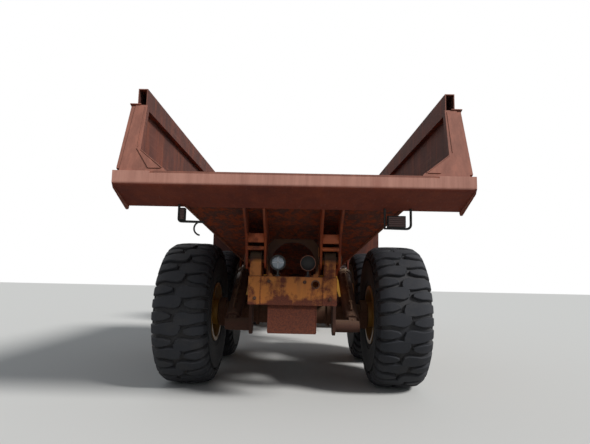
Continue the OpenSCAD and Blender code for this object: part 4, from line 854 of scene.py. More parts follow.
def buildLamps(form):
    x, r = form["x"], form["radius"]
    left, right = (facing((0, -1, 0), (side * x, form["y"], form["z"])) for side in (-1, 1))
    shells = [placeMesh(lampShell(r, form["depth"], form[depth]), place)
              for depth, place in (("reflectorDepth", left), ("emptyDepth", right))]
    addPiece("lampShellLeft", [shells[0], lampStalk(form, -x)], "black_steel", "rear_chassis",
             ["reversing_lamps"])
    addPiece("lampShellRight", [shells[1], lampStalk(form, x)], "black_steel", "rear_chassis",
             finish="lamp_bowl")
    # The empty lamp keeps its rusty rim
    rim = latheMesh([(0.0005, r * 0.91), (0.004, r * 0.92), (0.004, r * 0.99),
                     (0.0005, r * 0.995)], 48)
    addPiece("lampRimRight", placeMesh(rim, right), "rusty_beam", "rear_chassis",
             finish="pale_rust")
    # Fluted reflector under its lens, with a painted highlight: a pale cross of strips for the
    # reflector's cross of reflections
    glass = r * 0.86
    bar = glass * 0.86
    lens = lensMesh(glass, lampDome, form["flutes"], form["flute"])
    addPiece("lampLensLeft", placeMesh(lens, left), "lamp_metal", "rear_chassis",
             finish="lamp_lens")
    cross = joinMeshes("cross", [blockMesh((0.0055, -0.004, -bar), (0.0085, 0.004, bar), 0.001),
                                 blockMesh((0.0055, -bar, -0.004), (0.0085, bar, 0.004), 0.001)])
    addPiece("lampCrossHighlightLeft", placeMesh(cross, left), "rod_chrome", "rear_chassis",
             finish="lamp_cross")


buildLamps(lampForm)
print("reversing lamps ready")


# Rear of the frame: seams, bolts, keeper plates and the ring round the tail hole

crossForm = {
    "face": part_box("rear_frame")[0][1], "low": 0.972, "high": 1.238, "seams": (-0.306, 0.291),
    "blockHalf": 0.23, "blockBack": 0.031, "blockLow": 0.71, "blockHigh": 0.965,
    "bolt": 0.013, "bolts": ((-0.227, 1.192), (0.116, 1.190), (0.36, 1.03), (-0.36, 1.03)),
    "hole": (0.22, 1.17), "holeRadius": 0.030,
    # Columns: start, end and radius of the welds at the foot of an ear
    "earWelds": (((0.415, -4.402, 1.241), (0.305, -4.402, 1.241), 0.006),
                 ((0.250, -4.331, 1.25), (0.250, -4.331, 1.53), 0.005)),
    "pin": (-4.3, 1.4), "pinEnds": ((0.466, 1), (0.254, -1)),    # where it ends, and its way out
}


def buildCrossTrim(form):
    y, low, high, half = form["face"], form["low"], form["high"], form["blockHalf"]
    under, back = low - 0.001, y + form["blockBack"]
    welds = [weldMesh((x, y, low + 0.004), (x, y, high - 0.004)) for x in form["seams"]]
    welds.append(weldMesh((-half, back - 0.001, under), (half, back - 0.001, under)))
    for side in (-1, 1):
        welds.append(weldMesh((side * half, back, form["blockLow"]),
                              (side * half, back, form["blockHigh"]), 0.005))
        for (x0, y0, z0), (x1, y1, z1), radius in form["earWelds"]:
            welds.append(weldMesh((side * x0, y0, z0), (side * x1, y1, z1), radius))
    addPiece("crossWelds", welds, "frame_paint", "rear_chassis")
    x, z = form["hole"]
    r = form["holeRadius"]
    ring = latheMesh([(-0.001, r + 0.0015), (0.003, r + 0.002), (0.004, r + 0.006),
                      (0.003, r + 0.012), (-0.001, r + 0.013)], 40)
    bolts = boltsAt(form["bolt"], (0, -1, 0), [(bx, y, bz) for bx, bz in form["bolts"]])
    addPiece("crossBolts", [placeMesh(ring, facing((0, -1, 0), (x, y, z))), bolts],
             "cast_steel", "rear_chassis")
    # Keeper plates over the ends of the hinge pins
    pinY, pinZ = form["pin"]
    disc = latheMesh([(-0.002, 0), (-0.002, 0.052), (0.006, 0.052), (0.008, 0.050), (0.008, 0)], 40)
    keepers = []
    for end, way in form["pinEnds"]:
        places = [(end + way * 0.008, pinY + 0.030 * s, pinZ) for s in (-1, 1)]
        keepers += [placeMesh(disc, facing((way, 0, 0), (end, pinY, pinZ))),
                    boltsAt(0.008, (way, 0, 0), places)]
    addPiece("hingePinKeepers", keepers, "cast_steel", "rear_chassis", mirrored=True)


buildCrossTrim(crossForm)


# Body's underside: webs and bars in the hinge brackets, edge bars, welds

bodyForm = {
    "tail": -5.1, "floorHalf": 0.5, "floorZ": 1.32, "chuteLength": 1.9, "chuteRise": 0.753,
    "wallRun": 0.92, "wallRise": 1.03, "lipWeldZ": 2.076,
    "barStart": 0.38, "barEnd": 1.88, "bar": 0.013,     # along the chute, from the tail
    "bracket": (0.279, 0.441), "webY": (-4.437, -4.417), "webZ": (1.560, 1.650),
    "crossBar": (-4.410, 1.508), "crossBarRadius": 0.020,
    "sills": (0.259, 0.281, 0.439, 0.461), "sillStart": 0.36, "sillY": (-4.74, -3.22),
}
chuteSlope = bodyForm["chuteRise"] / bodyForm["chuteLength"]
wallSlope = bodyForm["wallRise"] / bodyForm["wallRun"]


def edgePoint(form, d, out):
    # Lower outer edge of the right slanted wall, d ahead of the tail lip
    z = form["floorZ"] + (form["chuteLength"] - d) * chuteSlope
    x = form["floorHalf"] + (z - form["floorZ"]) / wallSlope
    lean = math.atan(wallSlope)
    return (x + out * math.sin(lean), form["tail"] + d, z - out * math.cos(lean))


def buildBodyTrim(form):
    x0, x1 = form["bracket"]
    (y0, y1), (z0, z1), (barY, barZ) = form["webY"], form["webZ"], form["crossBar"]
    webs = [blockMesh((x0, y0, z0), (x1, y1, z1), 0.003),
            tubeMesh([(x0, barY, barZ), (x1, barY, barZ)], form["crossBarRadius"], 20)]
    addPiece("bracketWebs", webs, "frame_paint", "dump_body", finish="bracket_paint",
             mirrored=True)
    # Painted highlight: the edge bars take the paler rust
    bar = [edgePoint(form, d, 0.008) for d in (form["barEnd"], form["barStart"])]
    addPiece("chuteEdgeBars", tubeMesh(bar, form["bar"], 14), "frame_paint", "dump_body",
             finish="pale_rust", mirrored=True)
    top = form["floorZ"] + (form["chuteLength"] - form["sillStart"]) * chuteSlope - 0.004
    y0, y1 = form["sillY"]
    welds = [weldMesh((x, y0, top), (x, y1, form["floorZ"] - 0.002)) for x in form["sills"]]
    # The plates' ends along the lip
    lipY, lipZ = form["tail"] + 0.0062, form["lipWeldZ"]
    welds.append(weldMesh((0.02, lipY, lipZ), (1.48, lipY, lipZ), 0.0045))
    addPiece("bodyWelds", welds, "rusty_body", "dump_body", finish="under_rust_and_reflection", mirrored=True)


buildBodyTrim(bodyForm)
print("frame and body trim ready")


# Tail lamps: the left one on a bent tube with a hook, the right one in a loop of tube

tailForm = {
    "y": -4.79, "half": 0.024, "beamZ": 1.856, "bar": 0.011, "hook": 0.008, "edge": 0.008,
    "boxes": ((-1.008, -0.956, 1.718, 1.828), (0.828, 0.988, 1.688, 1.793)),    # x and z ranges
}


def lampHousing(form, x0, x1, z0, z1):
    y, half, inset = form["y"], form["half"], 0.004
    case = blockMesh((x0, y - half, z0), (x1, y + half, z1), 0.006)
    lip = [(x0 + inset, z0 + inset), (x1 - inset, z0 + inset), (x1 - inset, z1 - inset),
           (x0 + inset, z1 - inset)]
    return joinMeshes("housing", [case, tubeMesh([(x, y - half, z) for x, z in lip + lip[:2]],
                                                 0.003, 8)])


def lensRibs(form, x0, x1, z0, z1):
    ribs = 7 if z1 - z0 > x1 - x0 else 5
    y, edge = form["y"] - form["half"], form["edge"]
    pitch = (z1 - z0 - 2 * edge) / ribs
    return joinMeshes("ribs", [
        blockMesh((x0 + edge, y - 0.004, z0 + edge + pitch * k),
                  (x1 - edge, y + 0.002, z0 + edge + pitch * (k + 0.86)), 0.002)
        for k in range(ribs)])


def buildTailLamps(form):
    y, bar, top = form["y"], form["bar"], form["beamZ"]
    tubes = [
        tubeMesh([(-1.016, y, top), (-1.016, y, 1.735)]
                 + arcPoints((-0.991, y, 1.733), 0.025, 180, 270, 7) + [(-0.795, y, 1.706)], bar),
        tubeMesh(arcPoints((-0.816, y, 1.648), 0.060, 62, 262, 19), form["hook"], 10),
        tubeMesh([(1.036, y, top), (1.036, y, 1.722)]
                 + arcPoints((0.998, y, 1.718), 0.038, 0, -90, 9)
                 + [(0.806, y, 1.680), (0.806, y, top)], bar)]
    housings = [lampHousing(form, *box) for box in form["boxes"]]
    addPiece("tailLampHousings", housings + tubes, "lamp_plastic", "dump_body", ["tail_lamps"],
             finish="lamp_bowl")
    addPiece("tailLampLenses", [lensRibs(form, *box) for box in form["boxes"]], "lamp_plastic",
             "dump_body", finish="lamp_red")


buildTailLamps(tailForm)


# Rear posts: doubling plates on their feet, tabs on top, and a strip along the outer edge

postForm = {"footY": -5.02, "lipZ": 2.09, "lean": 20.0, "deep": 0.060, "height": 0.681}


def buildPosts(form):
    # Made upright, then leaned back over the lip
    face, top = -form["deep"], form["height"]
    foot = loftMesh([[(1.11, y, 0.006), (1.215, y, 0.006), (1.345, y, 0.205), (1.318, y, 0.186)]
                     for y in (face - 0.008, face + 0.001)])
    tab = blockMesh((1.392, face - 0.012, top - 0.001), (1.490, 0.0, top + 0.008), 0.002)
    seam = weldMesh((1.342, face, 0.22), (1.352, face, 0.66), 0.005)
    fold = weldMesh((1.10, face - 0.002, 0.012), (1.312, face - 0.002, 0.190), 0.005)
    strip = loftMesh([[(1.430, y, 0.004), (1.484, y, 0.004), (1.479, y, top - 0.004),
                       (1.430, y, top - 0.004)] for y in (face + 0.006, -0.006)])
    leaned = shifted(0, form["footY"], form["lipZ"]) @ turned(-form["lean"], "X")
    parts = [placeMesh(part, leaned) for part in (foot, tab, seam, fold, strip)]
    addPiece("postPlates", parts, "rusty_body", "dump_body", mirrored=True)


buildPosts(postForm)
print("tail lamps and posts ready")


# Cylinders: glands, ports and the hard pipes along the hoist barrels

hoistForm = {
    "x": 0.64, "base": (-3.9, 0.73), "eye": (-2.8, 1.35), "radius": 0.08, "headInset": 0.150,
    "pipe": 0.009, "clamps": (0.30, 0.62, 0.94),
}


def buildHoistTrim(form):
    # Made along X with the pipe on top, then laid on the right barrel's line
    (y0, z0), (y1, z1) = form["base"], form["eye"]
    r = form["radius"]
    end = math.hypot(y1 - y0, z1 - z0) - form["headInset"]
    gland = latheMesh([(end - 0.065, r - 0.002), (end - 0.065, r + 0.009), (end - 0.008, r + 0.009),
                       (end - 0.002, r + 0.004), (end - 0.002, r - 0.002)], 40)
    bead = latheMesh([(0.095, r - 0.002), (0.098, r + 0.005), (0.106, r + 0.004),
                      (0.110, r - 0.002)], 40)
    path = [(end - 0.11, 0.006), (end - 0.11, 0.026), (end - 0.16, 0.030), (0.20, 0.030),
            (0.17, 0.022), (0.17, -0.004)]
    pipe = tubeMesh([(x, 0, r + up) for x, up in path], form["pipe"], 10)
    clamps = [blockMesh((x - 0.012, -0.020, r - 0.004), (x + 0.012, 0.020, r + 0.042), 0.003)
              for x in form["clamps"]]
    screws = boltsAt(0.006, (0, 0, 1), [(x, 0.0, r + 0.042) for x in form["clamps"]])
    grease = boltsAt(0.008, (0, 0, 1), [(0.03, 0.0, 0.060)])
    place = (shifted(form["x"], y0, z0) @ turned(math.degrees(math.atan2(z1 - z0, y1 - y0)), "X")
             @ turned(90, "Z"))
    trim = joinMeshes("trim", [gland, bead, pipe, screws, grease] + clamps)
    addPiece("hoistBarrelTrim", placeMesh(trim, place), "cast_steel", "hoist_barrels",
             mirrored=True)


buildHoistTrim(hoistForm)


# Bogie pivots and the rear axle's cover

coverForms = {
    "pivot": {"radius": 0.068, "bolts": 6, "bolt": 0.008, "thick": 0.010},
    "axle": {"radius": 0.150, "bolts": 12, "bolt": 0.010, "thick": 0.018},
    "pivotPlace": (0.555, -2.465, 1.065),
    "axlePlace": (0, -3.505, 0.805),
}


def coverPlate(form):
    r, thick = form["radius"], form["thick"]
    plate = latheMesh([(-0.001, 0), (-0.001, r), (thick - 0.002, r), (thick, r - 0.003),
                       (thick, r * 0.55), (thick + 0.006, r * 0.5), (thick + 0.006, 0)], 48)
    bolt = placeMesh(boltMesh(form["bolt"]), shifted(thick, 0, r * 0.82))
    return joinMeshes("cover", [plate, ringOf(bolt, form["bolts"])])


def buildCovers(forms):
    caps = placeMesh(coverPlate(forms["pivot"]), facing((1, 0, 0), forms["pivotPlace"]))
    cover = placeMesh(coverPlate(forms["axle"]), facing((0, -1, 0), forms["axlePlace"]))
    addPiece("chassisCovers", [bothSides(caps), cover], "cast_steel", "rear_chassis")


buildCovers(coverForms)
print("cylinders and covers ready")


# Driver's seat: two stuffed pads with sewn channels and cords, on a stand in rubber folds

stuffing = {
    "cuts": 26, "tight": 7.0, "pull": 0.045, "slack": 0.95,    # the cover as it is cut
    "voxel": 0.006, "pressure": 4.0, "frames": 20, "swell": 0.024,
    "quality": 5, "mass": 0.3, "tension": 15.0, "bending": 0.8,
    "seamWidth": 0.035, "seamDepth": 0.012, "sag": 0.16,
}
seatForm = {
    "y": 1.93, "floor": 1.7503, "lean": 12.0,
    "base": ((-0.25, -0.255, 0.325), (0.25, 0.26, 0.452)), "baseCrown": 0.030,
    "baseChannels": ((-0.42, 0.42), (0.1,)), "baseCords": (0.072, 0.022),
    "back": ((-0.24, -0.305, -0.115), (0.24, 0.300, 0.004)), "backCrown": 0.028,
    "backChannels": ((-0.45, 0.45), (-0.35, 0.25)), "backCords": (-0.040, -0.092),
    "cord": 0.0045, "folds": 5, "foldPitch": 0.05, "foldIn": 0.112, "foldOut": 0.130,
    "armX": 0.236,
}


def inflate(mesh, look):
    # The cover is blown up as cloth, so it wrinkles and crowns as a stuffed pad does
    cover = bpy.data.objects.new("coverRest", mesh)
    scene.collection.objects.link(cover)
    even = cover.modifiers.new("even", "REMESH")
    even.mode = "VOXEL"
    even.voxel_size = look["voxel"]
    rest = evaluatedMesh(cover)
    cover.modifiers.remove(even)
    cover.data = rest
    cloth = cover.modifiers.new("cloth", "CLOTH")
    cloth.settings.quality = look["quality"]
    cloth.settings.mass = look["mass"]
    cloth.settings.tension_stiffness = look["tension"]
    cloth.settings.bending_stiffness = look["bending"]
    cloth.settings.use_pressure = True
    cloth.settings.uniform_pressure_force = look["pressure"]
    cloth.settings.effector_weights.gravity = 0.0
    cloth.point_cache.frame_start = 1
    cloth.point_cache.frame_end = look["frames"]
    for step in range(1, look["frames"] + 1):
        scene.frame_set(step)
    blown = evaluatedMesh(cover)
    for before, after in zip(rest.vertices, blown.vertices):
        move = after.co - before.co
        if move.length > look["swell"]:
            after.co = before.co + move * (look["swell"] / move.length)
    cover.modifiers.remove(cloth)
    scene.frame_set(1)
    bpy.data.objects.remove(cover)
    return blown


def cushionMesh(low, high, crown, channels, look):
    # A stuffed pad: crowned top, sides drawn in between the corners, sewn channels across the top
    shape = bmesh.new()
    bmesh.ops.create_cube(shape, size=2.0)
    bmesh.ops.subdivide_edges(shape, edges=shape.edges[:], cuts=look["cuts"], use_grid_fill=True)
    middle = [(a + b) / 2 for a, b in zip(low, high)]
    half = [(b - a) / 2 for a, b in zip(low, high)]
    tight, pull, slack = look["tight"], look["pull"], look["slack"]
    for vertex in shape.verts:
        u, v, w = vertex.co
        # Rounded corners: a cube pressed towards a ball near its edges
        size = (abs(u) ** tight + abs(v) ** tight + abs(w) ** tight) ** (1 / tight)
        u, v, w = u / size, v / size, w / size
        vertex.co = (u * (1 - pull * (1 - v * v)) * half[0] * slack,
                     v * (1 - pull * (1 - u * u)) * half[1] * slack, w * half[2] * slack)
    mesh = bpy.data.meshes.new("cushion")
    shape.to_mesh(mesh)
    shape.free()
    mesh = inflate(mesh, look)
    # The blown pad is pressed back into its space, then sewn
    reach = [max(abs(vertex.co[axis]) for vertex in mesh.vertices) for axis in range(3)]
    for vertex in mesh.vertices:
        u, v, w = (vertex.co[axis] / reach[axis] for axis in range(3))
        dome = max(0.0, 1 - u * u) ** 0.6 * max(0.0, 1 - v * v) ** 0.6
        z = (w * half[2] * (1 - look["sag"] * (1 - dome))
             - (1 - dome) * crown * (1 if w > 0 else 0.15))
        if w > 0.2:
            dent = sum(math.exp(-((place - c) / look["seamWidth"]) ** 2)
                       for place, seams in zip((u, v), channels) for c in seams)
            z -= look["seamDepth"] * min(1.0, dent) * min(1.0, dome * 3)
        if w < -0.7:
            # A flat underside, where the pad lies on its pan
            z = min(z, -half[2] * 0.97)
        vertex.co = (middle[0] + u * half[0], middle[1] + v * half[1], middle[2] + z)
    return mesh


def piping(mesh, level, radius, count=84):
    # The sewn cord follows the pad's own outline at one height
    xs = [vertex.co.x for vertex in mesh.vertices]
    ys = [vertex.co.y for vertex in mesh.vertices]
    middle = Vector(((min(xs) + max(xs)) / 2, (min(ys) + max(ys)) / 2, level))
    half = ((max(xs) - min(xs)) / 2, (max(ys) - min(ys)) / 2)
    found = {}
    for vertex in mesh.vertices:
        off = vertex.co - middle
        if abs(off.z) > 0.010:
            continue
        share = math.atan2(off.y / half[1], off.x / half[0]) / (2 * math.pi)
        turn = round(share * count) % count
        if turn not in found or off.xy.length > found[turn].xy.length:
            found[turn] = off
    loop = [found[turn] for turn in sorted(found)]
    smooth = [(before + here * 2 + after) / 4
              for before, here, after in zip(loop[-1:] + loop[:-1], loop, loop[1:] + loop[:1])]
    path = [(middle.x + p.x, middle.y + p.y, level) for p in smooth]
    return tubeMesh(path + path[:2], radius, 8)


def seatStand(form):
    # Suspension base in rubber folds over a steel plate
    y, floor, x = form["y"], form["floor"], form["armX"]
    folds = [(0.000, 0.115), (0.010, form["foldOut"])]
    for k in range(form["folds"]):
        start = 0.040 + k * form["foldPitch"]
        folds += [(start, form["foldIn"]), (start + 0.025, form["foldOut"])]
    folds += [(0.300, form["foldIn"]), (0.305, 0.0), (0.0, 0.0)]
    bellows = placeMesh(latheMesh(folds, 40), shifted(0, y, floor) @ turned(-90, "Y"))
    pan = blockMesh((-0.22, y - 0.22, floor + 0.303), (0.22, y + 0.22, floor + 0.328), 0.008)
    rails = bothSides(blockMesh((0.150, y - 0.20, floor), (0.185, y + 0.20, floor + 0.020)))
    # Recliner arms carry the back from the pan's rear corners
    path = ((-0.14, 0.318), (-0.245, 0.330), (-0.272, 0.400), (-0.335, 0.640))
    arm = tubeMesh([(x, y + back, floor + up) for back, up in path], 0.011, 10)
    knuckle = latheMesh([(-0.012, 0), (-0.012, 0.026), (0.010, 0.026), (0.014, 0.018),
                         (0.014, 0)], 28)
    arms = joinMeshes("arms", [
        arm, placeMesh(knuckle, facing((1, 0, 0), (x, y - 0.262, floor + 0.365)))])
    return [bellows, pan, rails, bothSides(arms)]


def buildSeat(form):
    y, floor, cord = form["y"], form["floor"], form["cord"]
    low, high = ((x, y + dy, floor + up) for x, dy, up in form["base"])
    base = cushionMesh(low, high, form["baseCrown"], form["baseChannels"], stuffing)
    cords = [piping(base, low[2] + up, cord) for up in form["baseCords"]]
    seat = addPiece("seatCushion", base, "seat_cloth", "tractor", ["driver_seat"], 60)
    upright = (shifted(0, y - 0.25, floor + 0.40) @ turned(form["lean"], "X")
               @ shifted(0, 0.01, 0.335) @ turned(-90, "X"))
    back = cushionMesh(*form["back"], form["backCrown"], form["backChannels"], stuffing)
    cords += [placeMesh(piping(back, level, cord), upright) for level in form["backCords"]]
    backPiece = addPiece("seatBack", placeMesh(back, upright), "seat_cloth", "tractor", (), 60)
    addPiece("seatPiping", cords, "black_steel", "tractor")
    addPiece("seatStand", seatStand(form), "black_steel", "tractor")


buildSeat(seatForm)


# Controls: gauges and switches on the dash's raked face, pedals below, a lever on the right

controlForm = {
    "dashSlope": (0, -0.956, 0.292), "dashPlace": (0, 2.592, 2.448),
    "gauges": ((-0.25, 0.038), (-0.14, 0.052), (0.0, 0.052), (0.11, 0.038), (0.20, 0.038)),
    "switches": 5, "switchPitch": 0.032, "switchOffset": 0.46,
    "pedals": (-0.16, 0.16), "pedalPlace": (0, 2.62, 1.90), "pedalLean": -38, "pedalRibs": 6,
    "lever": ((0.36, 2.02, 1.76), (0.36, 2.05, 2.02), (0.355, 2.09, 2.20)),
}


def pedalMesh(x, ribCount):
    ribs = [blockMesh((x - 0.038, -0.010, -0.060 + 0.024 * k),
                      (x + 0.038, -0.004, -0.050 + 0.024 * k), 0.002) for k in range(ribCount)]
    return joinMeshes("pedal", [
        blockMesh((x - 0.045, -0.006, -0.075), (x + 0.045, 0.006, 0.075), 0.005),
        tubeMesh([(x, 0.004, -0.05), (x, 0.10, -0.12)], 0.010, 10)] + ribs)


def buildControls(form):
    dash = facing(form["dashSlope"], form["dashPlace"])
    gauges = []
    for x, r in form["gauges"]:
        ring = latheMesh([(-0.002, 0), (-0.002, r), (0.006, r), (0.007, r * 0.93),
                          (0.003, r * 0.88), (0.003, 0)], 32)
        gauges.append(placeMesh(ring, dash @ shifted(0, -x, 0)))
    addPiece("dashGauges", gauges, "black_steel", "tractor")
    switch = placeMesh(blockMesh((-0.001, -0.011, -0.018), (0.009, 0.011, 0.018), 0.003),
                       dash @ shifted(0, form["switchOffset"], 0))
    switches = copyMesh(switch, form["switches"], "dash_plastic",
                        step=(form["switchPitch"], 0, 0))
    addPiece("dashSwitches", switches, "dash_plastic", "tractor")
    pedalTurn = shifted(*form["pedalPlace"]) @ turned(form["pedalLean"], "X")
    pedals = [placeMesh(pedalMesh(x, form["pedalRibs"]), pedalTurn) for x in form["pedals"]]
    knob = latheMesh([(-0.02, 0), (-0.02, 0.014), (0.0, 0.024), (0.03, 0.026), (0.045, 0.016),
                      (0.05, 0)], 24)
    lever = [tubeMesh(form["lever"], 0.009),
             placeMesh(knob, facing((0, 0.2, 1), form["lever"][-1])),
             blockMesh((0.31, 1.86, 1.7505), (0.41, 2.12, 1.98), 0.012)]
    addPiece("cabControls", pedals + lever, "dash_plastic", "tractor")


buildControls(controlForm)


# Rubber seals round the panes, wiper, door lock and mirror panes

glazingForm = {
    # Columns: x, and the ranges along and up
    "sideWindows": ((0.781, 1.49, 1.64, 2.18, 3.12), (0.781, 1.70, 2.75, 2.18, 3.12),
                    (-0.781, 1.49, 1.64, 2.18, 3.12)),
    "door": (-0.834, 1.76, 2.63, 2.18, 3.09),
    "half": 0.67, "rearY": 1.369, "rearLow": 2.24, "screenLow": 2.18, "top": 3.12,
    "seal": 0.009, "doorSeal": 0.008,
    "screenFoot": (3.01, 2.12), "screenRise": 1.10, "screenLean": 0.13,
    # Columns: x, height, and how far off the glass
    "wiperArm": ((0.10, 2.15, 0.020), (0.16, 2.30, 0.030), (0.36, 2.66, 0.022)),
    "wiperBlade": ((0.12, 2.52, 0.014), (0.60, 2.80, 0.014)), "wiperPivot": (0.10, 2.15, 0.004),
    "lock": ((-0.846, 1.735, 1.98), (-0.832, 1.795, 2.06)), "keyhole": (-0.846, 1.765, 2.02),
    "mirror": ((1.132, 2.9165, 2.392), (1.318, 2.9205, 2.788)),
}


def sealLoop(corners, radius):
    return tubeMesh(corners + corners[:2], radius, 8)


def sideSeal(x, y0, y1, z0, z1, radius):
    return sealLoop([(x, y0, z0), (x, y1, z0), (x, y1, z1), (x, y0, z1)], radius)


def onScreen(x, z, out=0.002):
    # A place on the leaning windscreen
    footY, footZ = glazingForm["screenFoot"]
    back = glazingForm["screenLean"] * (z - footZ) / glazingForm["screenRise"]
    return (x, footY - back + out, z)


def buildSeals(form):
    half, y, top, seal = form["half"], form["rearY"], form["top"], form["seal"]
    low = form["rearLow"]
    seals = [sideSeal(*row, seal) for row in form["sideWindows"]]
    seals.append(sealLoop([(-half, y, low), (half, y, low), (half, y, top), (-half, y, top)], seal))
    low = form["screenLow"]
    seals.append(sealLoop([onScreen(-half, low), onScreen(half, low), onScreen(half, top),
                           onScreen(-half, top)], seal))
    addPiece("windowSeals", seals, "black_steel", "tractor")
    # Wiper: a cranked arm with its blade along the glass
    pivot = latheMesh([(-0.01, 0), (-0.01, 0.022), (0.02, 0.020), (0.026, 0.012), (0.026, 0)], 24)
    wiper = [tubeMesh([onScreen(*p) for p in form["wiperArm"]], 0.006, 8),
             tubeMesh([onScreen(*p) for p in form["wiperBlade"]], 0.007, 8),
             placeMesh(pivot, facing((0, 1, 0.1), onScreen(*form["wiperPivot"])))]
    addPiece("screenWiper", wiper, "black_steel", "tractor")
    lock = [blockMesh(*form["lock"]), boltsAt(0.006, (-1, 0, 0), [form["keyhole"]])]
    addPiece("doorSeal", [sideSeal(*form["door"], form["doorSeal"])] + lock, "black_steel", "door")
    pane = blockMesh(*form["mirror"], 0.0015)
    addPiece("mirrorPanes", pane, "rod_chrome", "tractor", finish="mirror_glass", mirrored=True)


buildSeals(glazingForm)
print("cab trim ready")


# Bonnet: woven mesh behind the grille's slots, fins in the side louvres, latches

bonnetForm = {
    "meshFoot": (4.945, 1.35), "meshTop": (4.905, 1.74), "meshHalf": 0.48, "wire": 0.0035,
    "uprights": 41, "uprightFrom": -0.47, "uprightPitch": 0.0235, "levels": 19,
    "fins": 6, "finPitch": 0.09, "finPlace": (0.672, 3.53, 1.75), "finTurn": -38,
    "latches": (3.16, 4.30),                # along the side panels
}


def buildBonnet(form):
    (y0, z0), (y1, z1) = form["meshFoot"], form["meshTop"]
    half, wire = form["meshHalf"], form["wire"]
    wires = []
    for k in range(form["uprights"]):
        x = form["uprightFrom"] + form["uprightPitch"] * k
        wires.append(tubeMesh([(x, y0, z0), (x, y1, z1)], wire, 6))
    for k in range(form["levels"]):
        share = k / (form["levels"] - 1)
        y, z = y0 + (y1 - y0) * share, z0 + (z1 - z0) * share
        wires.append(tubeMesh([(-half, y, z), (half, y, z)], wire, 6))
    addPiece("grilleMesh", wires, "black_steel", "bonnet")
    fin = placeMesh(blockMesh((-0.002, -0.030, -0.108), (0.002, 0.030, 0.108), 0.001),
                    shifted(*form["finPlace"]) @ turned(form["finTurn"], "Z"))
    fins = copyMesh(fin, form["fins"], "yellow_paint", step=(0, form["finPitch"], 0))
    addPiece("louvreFins", fins, "yellow_paint", "bonnet", mirrored=True)
    latches = []
    for y in form["latches"]:
        latches += [blockMesh((0.688, y - 0.020, 1.34), (0.704, y + 0.020, 1.42)),
                    tubeMesh([(0.703, y, 1.41), (0.712, y, 1.38), (0.712, y, 1.345)], 0.005, 8)]
    addPiece("bonnetLatches", latches, "black_steel", "bonnet", mirrored=True)


buildBonnet(bonnetForm)


# Headlamps in the bumper's pockets

headlampForm = {"x": (0.728, 0.852), "y": 5.068, "z": 0.965, "radius": 0.056, "depth": 0.060,
                "bowl": 0.020}
headlampDome = ((-0.010, 1.0), (-0.004, 0.96), (0.004, 0.7), (0.008, 0.1))


def buildHeadlamps(form):
    shells, lenses = [], []
    shell = lampShell(form["radius"], form["depth"], form["bowl"])
    lens = lensMesh(form["radius"] * 0.86, headlampDome, 30)
    for x in form["x"]:
        place = facing((0, 1, 0), (x, form["y"], form["z"]))
        shells += [placeMesh(shell, place),
                   blockMesh((x - 0.03, 4.999, 0.94), (x + 0.03, 5.012, 0.99), 0.003)]
        lenses.append(placeMesh(lens, place))
    addPiece("headlampShells", shells, "black_steel", "tractor", mirrored=True)
    addPiece("headlampLenses", lenses, "lamp_metal", "tractor", finish="lamp_lens",
             mirrored=True)


buildHeadlamps(headlampForm)


# Tread strips on top of the fenders, rivets along their inner faces

fenderForm = {"strips": 22, "stripPitch": 0.042, "rivets": 11, "rivetPitch": 0.10,
              "rivetFrom": (0.8345, 2.02, 1.70)}


def buildFenderTrim(form):
    strip = blockMesh((1.00, 2.10, 1.7595), (1.40, 2.112, 1.7635), 0.0015)
    strips = copyMesh(strip, form["strips"], "black_steel", step=(0, form["stripPitch"], 0))
    addPiece("fenderTread", strips, "black_steel", "tractor", mirrored=True)
    rivet = latheMesh([(-0.001, 0), (-0.001, 0.010), (0.003, 0.009), (0.006, 0.005),
                       (0.007, 0)], 12)
    x, y, z = form["rivetFrom"]
    rivets = [placeMesh(rivet, facing((-1, 0, 0), (x, y + form["rivetPitch"] * k, z)))
              for k in range(form["rivets"])]
    addPiece("fenderRivets", rivets, "cast_steel", "tractor", mirrored=True)


buildFenderTrim(fenderForm)


# Straps and caps of the side tanks, grip plates on their steps

tankForm = {
    "straps": (1.06, 1.56), "strap": 0.007, "capPlace": (0.90, 1.49, 1.370), "grips": 12,
    "steps": (0.8205, 1.0905), "stepRibs": 8, "ribPitch": 0.045,
}


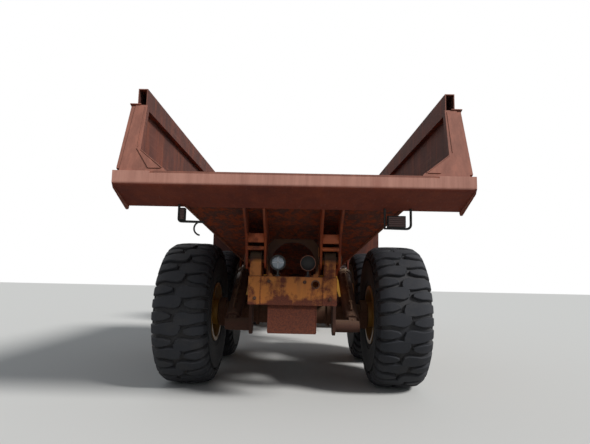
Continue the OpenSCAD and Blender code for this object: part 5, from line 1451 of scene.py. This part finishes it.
def buildTankTrim(form):
    section = ((0.678, 0.698), (1.181, 0.698), (1.262, 0.779), (1.262, 1.241), (1.181, 1.322),
               (0.678, 1.322))
    straps = [tubeMesh([(x, y, z) for x, z in section], form["strap"], 4) for y in form["straps"]]
    cap = latheMesh([(0.0, 0.0), (0.0, 0.066), (0.030, 0.066), (0.036, 0.058), (0.036, 0.0)], 40)
    grip = placeMesh(blockMesh((-0.006, 0.060, 0.004), (0.006, 0.0705, 0.030), 0.002),
                     turned(90, "Y"))
    cap = joinMeshes("cap", [cap, ringOf(grip, form["grips"], "black_steel")])
    addPiece("tankCaps", straps + [placeMesh(cap, facing((0, 0, 1), form["capPlace"]))],
             "black_steel", "tractor", mirrored=True)
    plates = []
    for z in form["steps"]:
        plates.append(blockMesh((1.184, 1.125, z), (1.256, 1.495, z + 0.008), 0.002))
        for y in (1.14 + form["ribPitch"] * k for k in range(form["stepRibs"])):
            plates.append(blockMesh((1.190, y, z + 0.007), (1.250, y + 0.010, z + 0.013), 0.001))
    addPiece("stepPlates", plates, "cast_steel", "tractor", mirrored=True)


buildTankTrim(tankForm)


# Band clamps on the exhaust and its slotted heat shield, bolts on the bumper

exhaustForm = {
    "x": 0.93, "y": 1.23, "ribs": 16,
    # Columns: height, and radius of the pipe there
    "bands": ((1.95, 0.110), (2.25, 0.110), (2.55, 0.110), (1.80, 0.060), (2.66, 0.055)),
}
bumperForm = {"face": 5.081, "bolt": 0.014, "x": (0.30, 0.52), "z": (0.72, 1.00)}


def buildExhaustTrim(form):
    x, y = form["x"], form["y"]
    bands = []
    for z, r in form["bands"]:
        band = latheMesh([(-0.012, r - 0.001), (-0.012, r + 0.004), (0.012, r + 0.004),
                          (0.012, r - 0.001)], 40)
        bands += [placeMesh(band, facing((0, 0, 1), (x, y, z))),
                  blockMesh((x + r, y - 0.014, z - 0.012), (x + r + 0.020, y + 0.014, z + 0.012),
                            0.002)]
    rib = blockMesh((0.1095, -0.004, 1.97), (0.1145, 0.004, 2.53), 0.0015)
    ribs = [placeMesh(rib, shifted(x, y, 0) @ turned(360 * k / form["ribs"], "Z"))
            for k in range(form["ribs"])]
    addPiece("exhaustBands", bands + ribs, "black_steel", "tractor")


def buildBumperBolts(form):
    places = [(side * x, form["face"], z) for side in (-1, 1) for x in form["x"]
              for z in form["z"]]
    addPiece("bumperBolts", boltsAt(form["bolt"], (0, 1, 0), places), "cast_steel", "tractor")


buildExhaustTrim(exhaustForm)
buildBumperBolts(bumperForm)
print("front trim ready")
